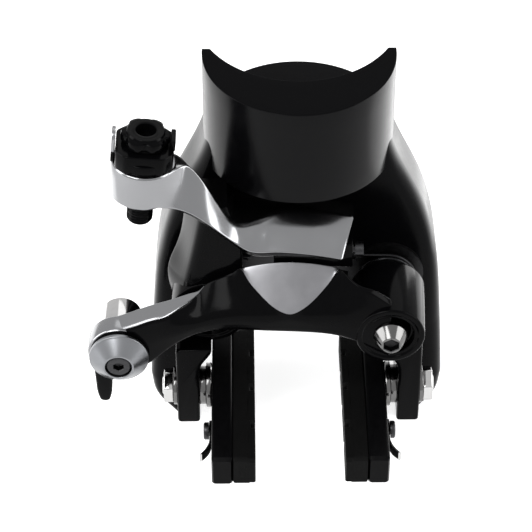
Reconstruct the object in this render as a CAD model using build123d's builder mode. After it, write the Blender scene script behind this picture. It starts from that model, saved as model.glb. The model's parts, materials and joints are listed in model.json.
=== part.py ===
from build123d import *
import os
from math import cos, radians, sin, tan

# Direct-mount dual-pivot rim brake caliper, bolted to the section of fork that carries it.
# Millimetres.  +Z up, the front of the brake faces -Y, +X is the viewer's right.
# Origin: on the frame's boss face, midway between the two pivot bolts.
# "Depth" is the distance in front of the boss face, towards -Y.

os.makedirs("parts", exist_ok=True)

# ---------------------------------------------------------------- driving dimensions
PIVOT_SPACING = 56.0  # direct-mount standard
SWING = 7.0  # degrees that each arm turns from open to the rim
RUN_GAP = 0.03  # radial clearance of a running fit
SEAT_GAP = 0.1  # radial clearance of a bolt in its hole
SIDE_GAP = 0.3  # between parts that pass each other

# frame section
CROWN_R = 30.5
CROWN_Y = 12.5  # axis of the crown behind the boss face
CROWN_BASE_Z = 42.0
CROWN_FRONT_Z = 75.7  # rim height at the front of the crown
CROWN_RIM_TILT = 4.3  # degrees, the rim rises rearwards
TUBE_SEAT_R = 33.5  # concave seat of the tube that the section was joined to
TUBE_SEAT_FRONT_Y = -1.3
TUBE_SEAT_FLOOR_Z = 51.7
STAY_DEPTH = 28.0
STAY_TOP_HALF = 24.5
STAY_SHOULDER = (36.2, 21.5)
STAY_HIP = (42.8, 7.0)
STAY_SPLIT = (45.6, -12.0)  # where the bridge ends and the stays begin
STAY_SHIN = (47.2, -46.0)
STAY_TOE_Z = -62.0
STAY_TOE_R = 10.0
STAY_INNER_X = 33.5
STAY_EDGE_R = 3.0
ARCH_RISE = 9.0  # height of the tyre arch above the split

# pivots
BOLT_R = 3.0  # M6
INSERT_R = 5.0
INSERT_LEN = 14.0
PLATE_T = 1.5
PLATE_WEB = 5.0
PLATE_BOW = 9.0
SLEEVE_R = 5.0
BUSH_WALL = 1.5
HUB_R = 12.0
HUB_NECK_R = 7.9  # rear neck that the return spring sits on
SPRING_BAY = 7.2  # length of that neck
SPRING_WIRE = 1.5
SPRING_TURNS = 2
SPRING_PITCH = 1.65
LEG_ANGLE = 15.0  # degrees that the leg on the arm leans inwards
LEG_REACH = 12.0
LUG_R = 1.2
BOLT_HEAD_R = 5.45
BOLT_NOSE_R = 3.9
BOLT_HEAD_H = 7.2
BOLT_CYL_H = 3.4
LOW_HEAD_H = 2.6
HEAD_RECESS_R = 7.3
HEAD_RECESS = 3.0
HEX_5 = 5.0
HEX_DEPTH = 2.2

# anchor arm (turns on the right pivot, reaches left to the cable anchor)
A_FRONT = 31.0  # depth of its front face
A_BACK = 20.3  # depth of the back of its beam
ANCHOR = (-56.4, -9.6)
ANCHOR_EYE_R = 9.8
ANCHOR_EYE_FRONT = 27.2
CAP_R = 9.3
CAP_RIM = 1.1
CAP_CONE = 4.2
CAP_MOUTH_R = 4.75
ANCHOR_BOLT_R = 2.5  # M5
ANCHOR_HEAD_R = 4.1
ANCHOR_HEAD_H = 3.2
ANCHOR_NUT_R = 6.3
ANCHOR_NUT_LEN = 13.0
CLAMP_T = 1.3

# adjuster arm (turns on the left pivot, carries the cable adjuster)
B_FRONT = 26.0
B_RIDGE = 15.0
B_BACK = 4.0
B_HUB_FRONT = 19.2
EYE = (-47.6, -18.0)  # axis of the adjuster at the foot of its eye, (x, y)
EYE_BASE_Z = 48.4
EYE_H = 12.0
EYE_R = 9.7
ADJ_LEAN = 5.5  # degrees that the adjuster leans
BARREL_R = 4.0
BARREL_BELOW = 10.5
CABLE_HOLE_R = 1.1
HOUSING_R = 3.05  # seat for a 6 mm housing ferrule
HOUSING_DEPTH = 9.0
BLOCK_H = 7.0
BLOCK_R = 9.1
O_RING_H = 1.0
KNOB_H = 3.6
KNOB_R = 7.6
KNOB_LIP = 0.8
KNOB_LOBES = 6
LEVER_T = 1.9
LEVER_BOSS_R = 3.4
LEVER_REACH = 6.5
LEVER_PIN_R = 1.5
LEVER_TIP_R = 2.2

# link between the arms: a roller on the anchor arm under a track on the adjuster arm
ROLLER_R = 4.5
ROLLER_LEN = 8.0
ROLLER_Z = 15.5
LINK_PIN_R = 2.0
LINK_PIN_IN = 3.5  # how deep the pin is pressed into the beam
CENTRING_R = 2.5
CENTRING_THREAD_R = 1.5
CENTRING_HEAD = 2.6
CENTRING_Z = 22.6
CENTRING_LEN = 6.0

# pad limbs and shoes
STUD_Y = -17.0
STUD_Z = -33.5
STUD_R = 3.0  # M6
LIMB_IN = 31.7
LIMB_T = 6.9
LIMB_W = 15.5
LIMB_BOTTOM = -43.0
LIMB_SHOULDER_Z = -10.0  # top of the left limb's front
HEIGHT_TRAVEL = 3.0  # the shoe slides this far up and down in its slot
RIM_R = 311.0  # radius of the rim's brake track, which the shoes follow
PAD_FACE_X = 14.0
PAD_T = 7.2
HOLDER_T = 6.6
SHOE_H = 11.5
PAD_H = 10.4
SHOE_FRONT = 35.5  # from the stud to the front end
SHOE_REAR = 20.5
WASHER_R = 5.6
OUTER_WASHER_T = 1.2
NUT_AF = 10.0
NUT_T = 3.2
STUD_OUT = 16.0
CLIP_T = 0.9
CLIP_LEN = 5.0
CLIP_LEAF = 6.5
CLIP_LIFT = 1.6
PAD_SCREW_R = 1.5
SCREW_Y = -36.5
SCREW_Z = -35.0
TONGUE = 2.2  # rail on the pad's back, held in the holder's channel
TONGUE_H = 6.4
PAD_GROOVES = (-22.5, -6.5, 9.5)  # along Y from the stud
PAD_GROOVE_W = 1.4
PAD_GROOVE_DEEP = 1.5

# ---------------------------------------------------------------- derived places
HALF = PIVOT_SPACING / 2
BORE_R = SLEEVE_R + BUSH_WALL
SLEEVE_BORE_R = BOLT_R + SEAT_GAP
A_SEAT = A_FRONT - HEAD_RECESS  # depth of the floor of the bolt's recess
B_SEAT = B_HUB_FRONT - HEAD_RECESS
NECK_END = PLATE_T + SPRING_BAY
LIMB_OUT = LIMB_IN + LIMB_T
LIMB_FRONT = -STUD_Y + LIMB_W / 2
LIMB_BACK = -STUD_Y - LIMB_W / 2
PAD_BACK = PAD_FACE_X + PAD_T
HOLDER_OUT = PAD_BACK + HOLDER_T
WHEEL_Z = STUD_Z - RIM_R  # axle of the wheel
COIL_R = HUB_NECK_R + SIDE_GAP + SPRING_WIRE / 2
SPRING_LEG_1 = PLATE_T + 2 * SIDE_GAP + SPRING_WIRE / 2  # depth of the leg on the back plate
SPRING_LEG_2 = SPRING_LEG_1 + SPRING_PITCH * (SPRING_TURNS + (90 + LEG_ANGLE) / 360)
LUG_X = HALF + COIL_R * cos(radians(LEG_ANGLE)) - LEG_REACH * sin(radians(LEG_ANGLE))
LUG_X += (SPRING_WIRE / 2 + LUG_R + RUN_GAP) * cos(radians(LEG_ANGLE))
LUG_Z = -COIL_R * sin(radians(LEG_ANGLE)) - LEG_REACH * cos(radians(LEG_ANGLE))
LUG_Z -= (SPRING_WIRE / 2 + LUG_R + RUN_GAP) * sin(radians(LEG_ANGLE))

# In the adjuster arm's own frame the roller's centre moves along this arc.
LINK_X = PIVOT_SPACING * cos(radians(SWING)) - HALF * cos(radians(2 * SWING)) - HALF
LINK_X += ROLLER_Z * sin(radians(2 * SWING))
LINK_DROP = ROLLER_Z * (1 - cos(radians(2 * SWING)))
LINK_DROP += PIVOT_SPACING * sin(radians(SWING)) * (1 - cos(radians(SWING)))
LINK_ARC_R = (LINK_X**2 + LINK_DROP**2) / (2 * LINK_DROP)
TRACK_R = LINK_ARC_R + ROLLER_R + RUN_GAP
TRACK_Z = ROLLER_Z - LINK_ARC_R
TRACK_FROM = -8.0
TRACK_TO = 17.0
TRACK_FOOT = 17.0
TRACK_TOP = 30.0
TRACK_BACK = A_BACK - 2 * SIDE_GAP - ROLLER_LEN
CENTRING_Y = -(TRACK_BACK + ROLLER_LEN / 2)

ADJ = Plane(
    origin=(EYE[0], EYE[1], EYE_BASE_Z),
    x_dir=(cos(radians(ADJ_LEAN)), 0, -sin(radians(ADJ_LEAN))),
    z_dir=(sin(radians(ADJ_LEAN)), 0, cos(radians(ADJ_LEAN))),
)


def front(depth):
    """Plane parallel to the boss face, facing the viewer, at a depth in front of it."""
    return Plane.XZ.offset(depth)


def finish(builder, label):
    """Name a finished piece and write its STEP file."""
    builder.part.label = label
    export_step(builder.part, f"parts/{label}.step")


# ---------------------------------------------------------------- frame section
def wishbone():
    """Arch of the frame below the crown, with both stays, as one body."""
    with BuildPart() as body:
        with BuildSketch(Plane.XZ):
            with BuildLine():
                side = Spline(
                    (STAY_TOP_HALF, CROWN_BASE_Z), STAY_SHOULDER, STAY_HIP, STAY_SPLIT, STAY_SHIN
                )
                toe_end = (STAY_SHIN[0] - STAY_TOE_R, STAY_TOE_Z)
                TangentArc(side @ 1, toe_end, tangent=side % 1)
                Line(toe_end, (STAY_INNER_X + 1, STAY_TOE_Z))
                Line((STAY_INNER_X + 1, STAY_TOE_Z), (STAY_INNER_X, STAY_SPLIT[1]))
                EllipticalCenterArc(
                    (0, STAY_SPLIT[1]), STAY_INNER_X, ARCH_RISE, start_angle=0, arc_size=90
                )
                Line((0, STAY_SPLIT[1] + ARCH_RISE), (0, CROWN_BASE_Z))
                Line((0, CROWN_BASE_Z), (STAY_TOP_HALF, CROWN_BASE_Z))
            make_face()
            mirror(about=Plane.YZ)
        extrude(amount=-STAY_DEPTH)
        curved = body.edges().filter_by(GeomType.LINE, reverse=True)
        outer = curved.filter_by(lambda e: abs(e.center().X) > STAY_INNER_X)
        fillet(outer, STAY_EDGE_R)
    return body.part


with BuildPart() as frame_crown:
    with BuildSketch(Plane.XY.offset(CROWN_BASE_Z)):
        with Locations((0, CROWN_Y)):
            Circle(CROWN_R)
    extrude(amount=CROWN_FRONT_Z - CROWN_BASE_Z + 2 * CROWN_R * tan(radians(CROWN_RIM_TILT)))
    with BuildSketch(Plane.XY.offset(TUBE_SEAT_FLOOR_Z)):
        with Locations((0, TUBE_SEAT_FRONT_Y + TUBE_SEAT_R)):
            Circle(TUBE_SEAT_R)
    extrude(amount=2 * CROWN_R, mode=Mode.SUBTRACT)
    rim = Plane(
        origin=(0, CROWN_Y - CROWN_R, CROWN_FRONT_Z),
        z_dir=(0, -sin(radians(CROWN_RIM_TILT)), cos(radians(CROWN_RIM_TILT))),
    )
    split(bisect_by=rim, keep=Keep.BOTTOM)
finish(frame_crown, "frame_crown")

with BuildPart() as frame_bridge:
    add(wishbone())
    split(bisect_by=Plane.XY.offset(STAY_SPLIT[1]), keep=Keep.TOP)
    with BuildSketch(Plane.XZ):
        with Locations((-HALF, 0), (HALF, 0)):
            Circle(INSERT_R)
    extrude(amount=-INSERT_LEN, mode=Mode.SUBTRACT)
finish(frame_bridge, "frame_bridge")

for name, cut in (("left_stay", Keep.BOTTOM), ("right_stay", Keep.TOP)):
    with BuildPart() as stay:
        add(wishbone())
        split(bisect_by=Plane.XY.offset(STAY_SPLIT[1]), keep=Keep.BOTTOM)
        split(bisect_by=Plane.YZ, keep=cut)
    finish(stay, name)

with BuildPart() as boss_inserts:
    with BuildSketch(Plane.XZ):
        with Locations((-HALF, 0), (HALF, 0)):
            Circle(INSERT_R)
            Circle(BOLT_R + RUN_GAP, mode=Mode.SUBTRACT)
    extrude(amount=-INSERT_LEN)
finish(boss_inserts, "boss_inserts")

# ---------------------------------------------------------------- pivots
with BuildPart() as back_plate:
    with BuildSketch(front(0)):
        with BuildLine():
            ThreePointArc((-HALF, -PLATE_WEB), (0, PLATE_BOW - PLATE_WEB), (HALF, -PLATE_WEB))
            Line((HALF, -PLATE_WEB), (HALF, PLATE_WEB))
            ThreePointArc((HALF, PLATE_WEB), (0, PLATE_BOW + PLATE_WEB), (-HALF, PLATE_WEB))
            Line((-HALF, PLATE_WEB), (-HALF, -PLATE_WEB))
        make_face()
        with Locations((-HALF, 0), (HALF, 0)):
            Circle(HUB_R)
            Circle(SLEEVE_BORE_R, mode=Mode.SUBTRACT)
    extrude(amount=PLATE_T)
    # studs that stop the springs' rear legs
    with BuildSketch(front(PLATE_T)):
        with Locations(*[(x * (HALF - LEG_REACH + 1), COIL_R - SPRING_WIRE / 2 - LUG_R) for x in (-1, 1)]):
            Circle(LUG_R - RUN_GAP)
    extrude(amount=SPRING_WIRE + SIDE_GAP)
finish(back_plate, "back_plate")


def pivot_sleeve(side, seat):
    """Steel sleeve that an arm's bush turns on, clamped by the mounting bolt."""
    with BuildPart() as sleeve:
        with BuildSketch(front(PLATE_T)):
            with Locations((side * HALF, 0)):
                Circle(SLEEVE_R)
                Circle(SLEEVE_BORE_R, mode=Mode.SUBTRACT)
        extrude(amount=seat - PLATE_T)
    return sleeve


def mounting_bolt(side, seat, head_h, nose_r):
    """M6 bolt with a conical head, from its socket back into the boss insert."""
    with BuildPart() as bolt:
        with BuildSketch(Plane((side * HALF, 0, 0))):
            with BuildLine():
                Polyline(
                    (0, INSERT_LEN - 1),
                    (BOLT_R, INSERT_LEN - 1),
                    (BOLT_R, -seat),
                    (BOLT_HEAD_R, -seat),
                    (BOLT_HEAD_R, -seat - min(BOLT_CYL_H, head_h / 2)),
                    (nose_r, -seat - head_h),
                    (0, -seat - head_h),
                    close=True,
                )
            make_face()
        revolve(axis=Axis((side * HALF, 0, 0), (0, 1, 0)))
        with BuildSketch(front(seat + head_h)):
            with Locations((side * HALF, 0)):
                RegularPolygon(HEX_5 / 2, 6, major_radius=False)
        extrude(amount=-HEX_DEPTH, mode=Mode.SUBTRACT)
    return bolt


finish(pivot_sleeve(-1, B_SEAT), "left_pivot_sleeve")
finish(pivot_sleeve(1, A_SEAT), "right_pivot_sleeve")
finish(mounting_bolt(-1, B_SEAT, LOW_HEAD_H, BOLT_HEAD_R - 0.6), "left_mounting_bolt")
finish(mounting_bolt(1, A_SEAT, BOLT_HEAD_H, BOLT_NOSE_R), "right_mounting_bolt")


# ---------------------------------------------------------------- what both arms share
def limb(side, root):
    """Limb that reaches down from the hub to the shoe, with the slot for the shoe's stud."""
    with BuildPart() as bar:
        with BuildSketch(front(LIMB_BACK)):
            with BuildLine():
                Polyline(
                    (side * LIMB_IN, LIMB_BOTTOM),
                    (side * LIMB_OUT, LIMB_BOTTOM),
                    (side * LIMB_OUT, -HUB_R),
                    (side * (HALF + HUB_R - 0.5), root),
                    (side * (HALF - HUB_R / 2), root),
                    (side * (LIMB_IN - 4), -HUB_R - 1),
                    (side * LIMB_IN, -HUB_R - 7),
                    close=True,
                )
            make_face()
        extrude(amount=LIMB_W)
        with BuildSketch(Plane.YZ.offset(side * (LIMB_IN + LIMB_T / 2))):
            with Locations((STUD_Y, STUD_Z)):
                SlotCenterToCenter(2 * HEIGHT_TRAVEL, 2 * (STUD_R + SEAT_GAP), rotation=90)
        extrude(amount=LIMB_T, both=True, mode=Mode.SUBTRACT)
        with BuildSketch(front(LIMB_BACK)):
            with Locations((side * LUG_X, LUG_Z)):
                Circle(LUG_R)
        extrude(amount=-(LIMB_BACK - SPRING_LEG_2 + SPRING_WIRE / 2))
    return bar.part


def profile(depth, top, foot):
    """Front view of an arm's beam at one depth: smooth top edge and foot, straight ends."""
    with BuildSketch(front(depth)) as face:
        with BuildLine():
            upper = Spline(*top)
            lower = Spline(*foot)
            Line(upper @ 0, lower @ 0)
            Line(upper @ 1, lower @ 1)
        make_face()
    return face.sketch


# ---------------------------------------------------------------- anchor arm
with BuildPart() as anchor_arm:
    with BuildSketch(front(NECK_END)):
        with Locations((HALF, 0)):
            Circle(HUB_R)
    extrude(amount=A_FRONT - NECK_END)
    # beam from the hub over the tyre and down to the cable anchor, its top leaning forward
    foot = [(-57, -18.5), (-46, -13), (-37, -4.2), (-27, 0.8), (-4, 1.2), (12, -0.6), (26, -8)]
    crest = [(-57, 0.2), (-46, 4.6), (-36, 9.2), (-27, 14.6), (-17, 19.4), (-4, 23.4), (10, 21), (26, 9)]
    brow = [(-57, 0.2), (-46, 4.6), (-36, 9.4), (-27, 12.6), (-17, 13.4), (-4, 10.4), (10, 12), (26, 7)]
    loft([profile(A_BACK, crest, foot), profile(A_FRONT, brow, foot)], ruled=True)
    # the beam thins towards the anchor
    with BuildSketch(Plane.XY.offset(-HALF)):
        with BuildLine():
            thin = Spline(
                (-70, -ANCHOR_EYE_FRONT),
                (-46, -ANCHOR_EYE_FRONT),
                (-24, -A_FRONT + 1.6),
                (-6, -A_FRONT),
                tangents=[(1, 0), (1, 0)],
            )
            Polyline(thin @ 1, (-6, -2 * A_FRONT), (-70, -2 * A_FRONT), thin @ 0)
        make_face()
    extrude(amount=PIVOT_SPACING, mode=Mode.SUBTRACT)
    with BuildSketch(front(A_BACK)):
        with Locations(ANCHOR):
            Circle(ANCHOR_EYE_R)
    extrude(amount=ANCHOR_EYE_FRONT - A_BACK)
    # limb to the right shoe
    add(limb(1, -2))
    with BuildSketch(front(PLATE_T)):
        with Locations((HALF, 0)):
            Circle(HUB_NECK_R)
    extrude(amount=SPRING_BAY)
    # bore, bolt recess, anchor hole, link pin hole
    with BuildSketch(front(PLATE_T)):
        with Locations((HALF, 0)):
            Circle(BORE_R)
    extrude(amount=A_FRONT, mode=Mode.SUBTRACT)
    with BuildSketch(front(A_SEAT)):
        with Locations((HALF, 0)):
            Circle(HEAD_RECESS_R)
    extrude(amount=A_FRONT, mode=Mode.SUBTRACT)
    with BuildSketch(front(0)):
        with Locations(ANCHOR):
            Circle(ANCHOR_BOLT_R + SEAT_GAP)
    extrude(amount=2 * A_FRONT, mode=Mode.SUBTRACT)
    with BuildSketch(front(A_BACK)):
        with Locations((0, ROLLER_Z)):
            Circle(LINK_PIN_R)
    extrude(amount=LINK_PIN_IN, mode=Mode.SUBTRACT)
finish(anchor_arm, "anchor_arm")

with BuildPart() as anchor_arm_bush:
    with BuildSketch(front(PLATE_T)):
        with Locations((HALF, 0)):
            Circle(BORE_R)
            Circle(SLEEVE_R + RUN_GAP, mode=Mode.SUBTRACT)
    extrude(amount=A_SEAT - PLATE_T)
finish(anchor_arm_bush, "anchor_arm_bush")

# cable anchor: clamp plate with its tab, cone cap, bolt and nut
with BuildPart() as cable_clamp_plate:
    with BuildSketch(front(ANCHOR_EYE_FRONT)):
        with Locations(ANCHOR):
            Circle(CAP_R - 0.8)
        with BuildLine():
            Polyline(
                (ANCHOR[0] - 8.2, ANCHOR[1] - 4),
                (ANCHOR[0] - 7.2, ANCHOR[1] - 18.5),
                (ANCHOR[0] - 4.2, ANCHOR[1] - 18.5),
                (ANCHOR[0] - 2.4, ANCHOR[1] - 4),
                close=True,
            )
        make_face()
        with Locations((ANCHOR[0] - 5.7, ANCHOR[1] - 18.5)):
            Circle(1.5)
        with Locations(ANCHOR):
            Circle(ANCHOR_BOLT_R + SEAT_GAP, mode=Mode.SUBTRACT)
    extrude(amount=CLAMP_T)
finish(cable_clamp_plate, "cable_clamp_plate")

CAP_BASE = ANCHOR_EYE_FRONT + CLAMP_T
CAP_FACE = CAP_BASE + CAP_RIM + CAP_CONE
ANCHOR_SEAT = CAP_FACE - ANCHOR_HEAD_H - 0.3
with BuildPart() as anchor_cap:
    with BuildSketch(Plane((ANCHOR[0], 0, ANCHOR[1]))):
        with BuildLine():
            Polyline(
                (ANCHOR_BOLT_R + SEAT_GAP, -CAP_BASE),
                (CAP_R, -CAP_BASE),
                (CAP_R, -CAP_BASE - CAP_RIM),
                (CAP_MOUTH_R, -CAP_FACE),
                (ANCHOR_HEAD_R + SEAT_GAP, -CAP_FACE),
                (ANCHOR_HEAD_R + SEAT_GAP, -ANCHOR_SEAT),
                (ANCHOR_BOLT_R + SEAT_GAP, -ANCHOR_SEAT),
                close=True,
            )
        make_face()
    revolve(axis=Axis((ANCHOR[0], 0, ANCHOR[1]), (0, 1, 0)))
finish(anchor_cap, "anchor_cap")

with BuildPart() as anchor_bolt:
    with BuildSketch(front(ANCHOR_SEAT)):
        with Locations(ANCHOR):
            Circle(ANCHOR_HEAD_R)
    extrude(amount=ANCHOR_HEAD_H)
    with BuildSketch(front(ANCHOR_SEAT)):
        with Locations(ANCHOR):
            Circle(ANCHOR_BOLT_R)
    extrude(amount=-(ANCHOR_SEAT - A_BACK + ANCHOR_NUT_LEN - 2))
    with BuildSketch(front(ANCHOR_SEAT + ANCHOR_HEAD_H)):
        with Locations(ANCHOR):
            RegularPolygon(1.5, 6, major_radius=False)
    extrude(amount=-2, mode=Mode.SUBTRACT)
finish(anchor_bolt, "anchor_bolt")

with BuildPart() as anchor_nut:
    with BuildSketch(front(A_BACK)):
        with Locations(ANCHOR):
            Circle(ANCHOR_NUT_R)
            Circle(ANCHOR_BOLT_R + RUN_GAP, mode=Mode.SUBTRACT)
    extrude(amount=-ANCHOR_NUT_LEN)
    chamfer(anchor_nut.faces().sort_by(Axis.Y)[-1].outer_wire().edges(), 0.6)
finish(anchor_nut, "anchor_nut")

# ---------------------------------------------------------------- adjuster arm
with BuildPart() as adjuster_arm:
    with BuildSketch(front(NECK_END)):
        with Locations((-HALF, 0)):
            Circle(HUB_R)
    extrude(amount=B_HUB_FRONT - NECK_END)
    # column from the hub up to the arm's body
    with BuildSketch(front(4)):
        with BuildLine():
            Polyline(
                (-HALF - HUB_R, 0),
                (-HALF - HUB_R + 3, 24),
                (-HALF - 7, 44),
                (-HALF + 7, 36),
                (-HALF + 11, 26),
                (-HALF + HUB_R, 0),
                close=True,
            )
        make_face()
    extrude(amount=B_HUB_FRONT - 4)
    # body from the adjuster eye to the free end over the roller, in three depths:
    # the front lip, the ridge where the scoop begins, and the back of the scoop
    lip = profile(
        B_FRONT,
        [(-47, 60), (-36, 52), (-28.5, 44.8), (-20, 37), (-14, 32.6), (-4, 31.6), (13, 28.9)],
        [(-47, 48.6), (-36, 47), (-29, 42.4), (-22, 36.2), (-14, 30.2), (-4, 30), (12.4, 27.2)],
    )
    ridge = profile(
        B_RIDGE,
        [(-47, 60.2), (-35, 58), (-28.5, 47.8), (-23.5, 39.7), (-15.5, 32.8), (-6, 36.6), (5, 36.4), (16, 34.6)],
        [(-47, 48.6), (-36, 45), (-29, 38), (-22, 31), (-14, 26), (-4, 26), (15.5, 26)],
    )
    scoop = profile(
        B_BACK,
        [(-32, 42), (-26, 36.5), (-20, 34.4), (-14, 33.8), (-6, 35), (5, 34.4), (16, 32)],
        [(-32, 36), (-26, 28), (-20, 25), (-14, 25), (-6, 25), (5, 25), (15.8, 25)],
    )
    loft([lip, ridge, scoop], ruled=True)
    # eye for the cable adjuster
    with BuildSketch(ADJ):
        Circle(EYE_R)
    extrude(amount=EYE_H)
    # track that the link roller pushes
    with BuildSketch(front(TRACK_BACK)):
        with Locations(((TRACK_FROM + TRACK_TO) / 2, (TRACK_FOOT + TRACK_TOP) / 2)):
            Rectangle(TRACK_TO - TRACK_FROM, TRACK_TOP - TRACK_FOOT)
        with Locations((0, TRACK_Z)):
            Circle(TRACK_R, mode=Mode.SUBTRACT)
    extrude(amount=A_BACK - SIDE_GAP - TRACK_BACK)
    with BuildSketch(front(PLATE_T)):
        with Locations((-HALF, 0)):
            Circle(HUB_R)
    extrude(amount=SPRING_BAY, mode=Mode.SUBTRACT)
    add(limb(-1, -4))
    # the limb's front stays below the anchor arm's beam, which passes in front of this hub
    with BuildSketch(front(B_HUB_FRONT)):
        with Locations((-HALF - HUB_R / 2, LIMB_SHOULDER_Z + HUB_R / 2)):
            Rectangle(2 * HUB_R, HUB_R)
    extrude(amount=LIMB_FRONT - B_HUB_FRONT, mode=Mode.SUBTRACT)
    with BuildSketch(front(PLATE_T)):
        with Locations((-HALF, 0)):
            Circle(HUB_NECK_R)
    extrude(amount=SPRING_BAY)
    # bore, bolt recess, adjuster bore
    with BuildSketch(front(PLATE_T)):
        with Locations((-HALF, 0)):
            Circle(BORE_R)
    extrude(amount=B_HUB_FRONT, mode=Mode.SUBTRACT)
    with BuildSketch(front(B_SEAT)):
        with Locations((-HALF, 0)):
            Circle(HEAD_RECESS_R)
    extrude(amount=HEAD_RECESS, mode=Mode.SUBTRACT)
    with BuildSketch(ADJ):
        Circle(BARREL_R + RUN_GAP)
    extrude(amount=2 * EYE_H, both=True, mode=Mode.SUBTRACT)
    # seat of the release block on the eye
    with BuildSketch(ADJ.offset(EYE_H)):
        Circle(BLOCK_R + SIDE_GAP)
    extrude(amount=BLOCK_H, mode=Mode.SUBTRACT)
    with BuildSketch(Plane.YZ.offset(TRACK_TO)):
        with Locations((CENTRING_Y, CENTRING_Z)):
            Circle(CENTRING_THREAD_R)
    extrude(amount=-CENTRING_LEN, mode=Mode.SUBTRACT)
finish(adjuster_arm, "adjuster_arm")

with BuildPart() as adjuster_arm_bush:
    with BuildSketch(front(PLATE_T)):
        with Locations((-HALF, 0)):
            Circle(BORE_R)
            Circle(SLEEVE_R + RUN_GAP, mode=Mode.SUBTRACT)
    extrude(amount=B_SEAT - PLATE_T)
finish(adjuster_arm_bush, "adjuster_arm_bush")

with BuildPart() as centring_screw:
    with BuildSketch(Plane.YZ.offset(TRACK_TO)):
        with Locations((CENTRING_Y, CENTRING_Z)):
            Circle(CENTRING_R)
    extrude(amount=CENTRING_HEAD)
    with BuildSketch(Plane.YZ.offset(TRACK_TO)):
        with Locations((CENTRING_Y, CENTRING_Z)):
            Circle(CENTRING_THREAD_R - RUN_GAP)
    extrude(amount=-CENTRING_LEN)
    with BuildSketch(Plane.YZ.offset(TRACK_TO + CENTRING_HEAD)):
        with Locations((CENTRING_Y, CENTRING_Z)):
            RegularPolygon(1, 6, major_radius=False)
    extrude(amount=-CENTRING_HEAD + 1, mode=Mode.SUBTRACT)
finish(centring_screw, "centring_screw")

# ---------------------------------------------------------------- link between the arms
ROLLER_BACK = A_BACK - SIDE_GAP - ROLLER_LEN
with BuildPart() as link_pin:
    with BuildSketch(front(A_BACK + LINK_PIN_IN)):
        with Locations((0, ROLLER_Z)):
            Circle(LINK_PIN_R)
    extrude(amount=-(A_BACK + LINK_PIN_IN - ROLLER_BACK + SIDE_GAP))
    with BuildSketch(front(ROLLER_BACK - SIDE_GAP)):
        with Locations((0, ROLLER_Z)):
            Circle(LINK_PIN_R + 1)
    extrude(amount=-1.2)
finish(link_pin, "link_pin")

with BuildPart() as link_roller:
    with BuildSketch(front(ROLLER_BACK)):
        with Locations((0, ROLLER_Z)):
            Circle(ROLLER_R)
            Circle(LINK_PIN_R + RUN_GAP, mode=Mode.SUBTRACT)
    extrude(amount=ROLLER_LEN)
finish(link_roller, "link_roller")

# ---------------------------------------------------------------- return springs
with BuildPart() as coiled_wire:
    with BuildLine():
        coil = Helix(SPRING_PITCH, SPRING_LEG_2 - SPRING_LEG_1, COIL_R, lefthand=True)
        Line(coil @ 0 - (coil % 0) * (LEG_REACH + 1), coil @ 0)
        Line(coil @ 1, coil @ 1 + (coil % 1) * (LEG_REACH + 1))
    with BuildSketch(Plane(origin=coil @ 0, z_dir=coil % 0)):
        Circle(SPRING_WIRE / 2)
    sweep(is_frenet=True)

with BuildPart() as right_return_spring:
    with Locations(Plane(origin=(HALF, -SPRING_LEG_1, 0), x_dir=(0, 0, 1), z_dir=(0, -1, 0))):
        add(coiled_wire.part)
finish(right_return_spring, "right_return_spring")

with BuildPart() as left_return_spring:
    add(mirror(right_return_spring.part, about=Plane.YZ, mode=Mode.PRIVATE))
finish(left_return_spring, "left_return_spring")

# ---------------------------------------------------------------- cable adjuster
BLOCK_FLAT = BLOCK_R - 0.5
KNOB_FOOT = EYE_H + BLOCK_H + O_RING_H
with BuildPart() as release_block:
    with BuildSketch(ADJ.offset(EYE_H)):
        Circle(BLOCK_R)
        Rectangle(2 * BLOCK_FLAT, 2 * (BLOCK_R - 0.9), mode=Mode.INTERSECT)
        Circle(BARREL_R + RUN_GAP, mode=Mode.SUBTRACT)
    extrude(amount=BLOCK_H)
    with BuildSketch(ADJ.offset(EYE_H + BLOCK_H)):
        with Locations((BLOCK_R - 0.65, 0)):
            Rectangle(0.9, 6.5)
    extrude(amount=O_RING_H + KNOB_H - 1)
    with BuildSketch(Plane(ADJ.origin, x_dir=ADJ.y_dir, z_dir=-ADJ.x_dir).offset(BLOCK_R / 2)):
        with Locations((0, -(EYE_H + BLOCK_H / 2))):
            Circle(LEVER_PIN_R + RUN_GAP)
    extrude(amount=BLOCK_R, mode=Mode.SUBTRACT)
finish(release_block, "release_block")

with BuildPart() as adjuster_o_ring:
    with BuildSketch(ADJ.offset(EYE_H + BLOCK_H)):
        Circle(BARREL_R + 2)
        Circle(BARREL_R + RUN_GAP, mode=Mode.SUBTRACT)
    extrude(amount=O_RING_H)
finish(adjuster_o_ring, "adjuster_o_ring")

with BuildPart() as cable_adjuster:
    with BuildSketch(ADJ.offset(-BARREL_BELOW)):
        Circle(BARREL_R)
    extrude(amount=BARREL_BELOW + KNOB_FOOT)
    with BuildSketch(ADJ.offset(KNOB_FOOT)):
        Circle(KNOB_R)
        with PolarLocations(KNOB_R + 1.6, KNOB_LOBES):
            Circle(2.6, mode=Mode.SUBTRACT)
    extrude(amount=KNOB_H - KNOB_LIP)
    with BuildSketch(ADJ.offset(KNOB_FOOT)):
        Circle(BARREL_R + 1.7)
    extrude(amount=KNOB_H)
    with BuildSketch(ADJ.offset(KNOB_FOOT + KNOB_H)):
        Circle(HOUSING_R)
    extrude(amount=-HOUSING_DEPTH, mode=Mode.SUBTRACT)
    with BuildSketch(ADJ.offset(-BARREL_BELOW)):
        Circle(CABLE_HOLE_R)
    extrude(amount=BARREL_BELOW + KNOB_FOOT, mode=Mode.SUBTRACT)
finish(cable_adjuster, "cable_adjuster")

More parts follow.
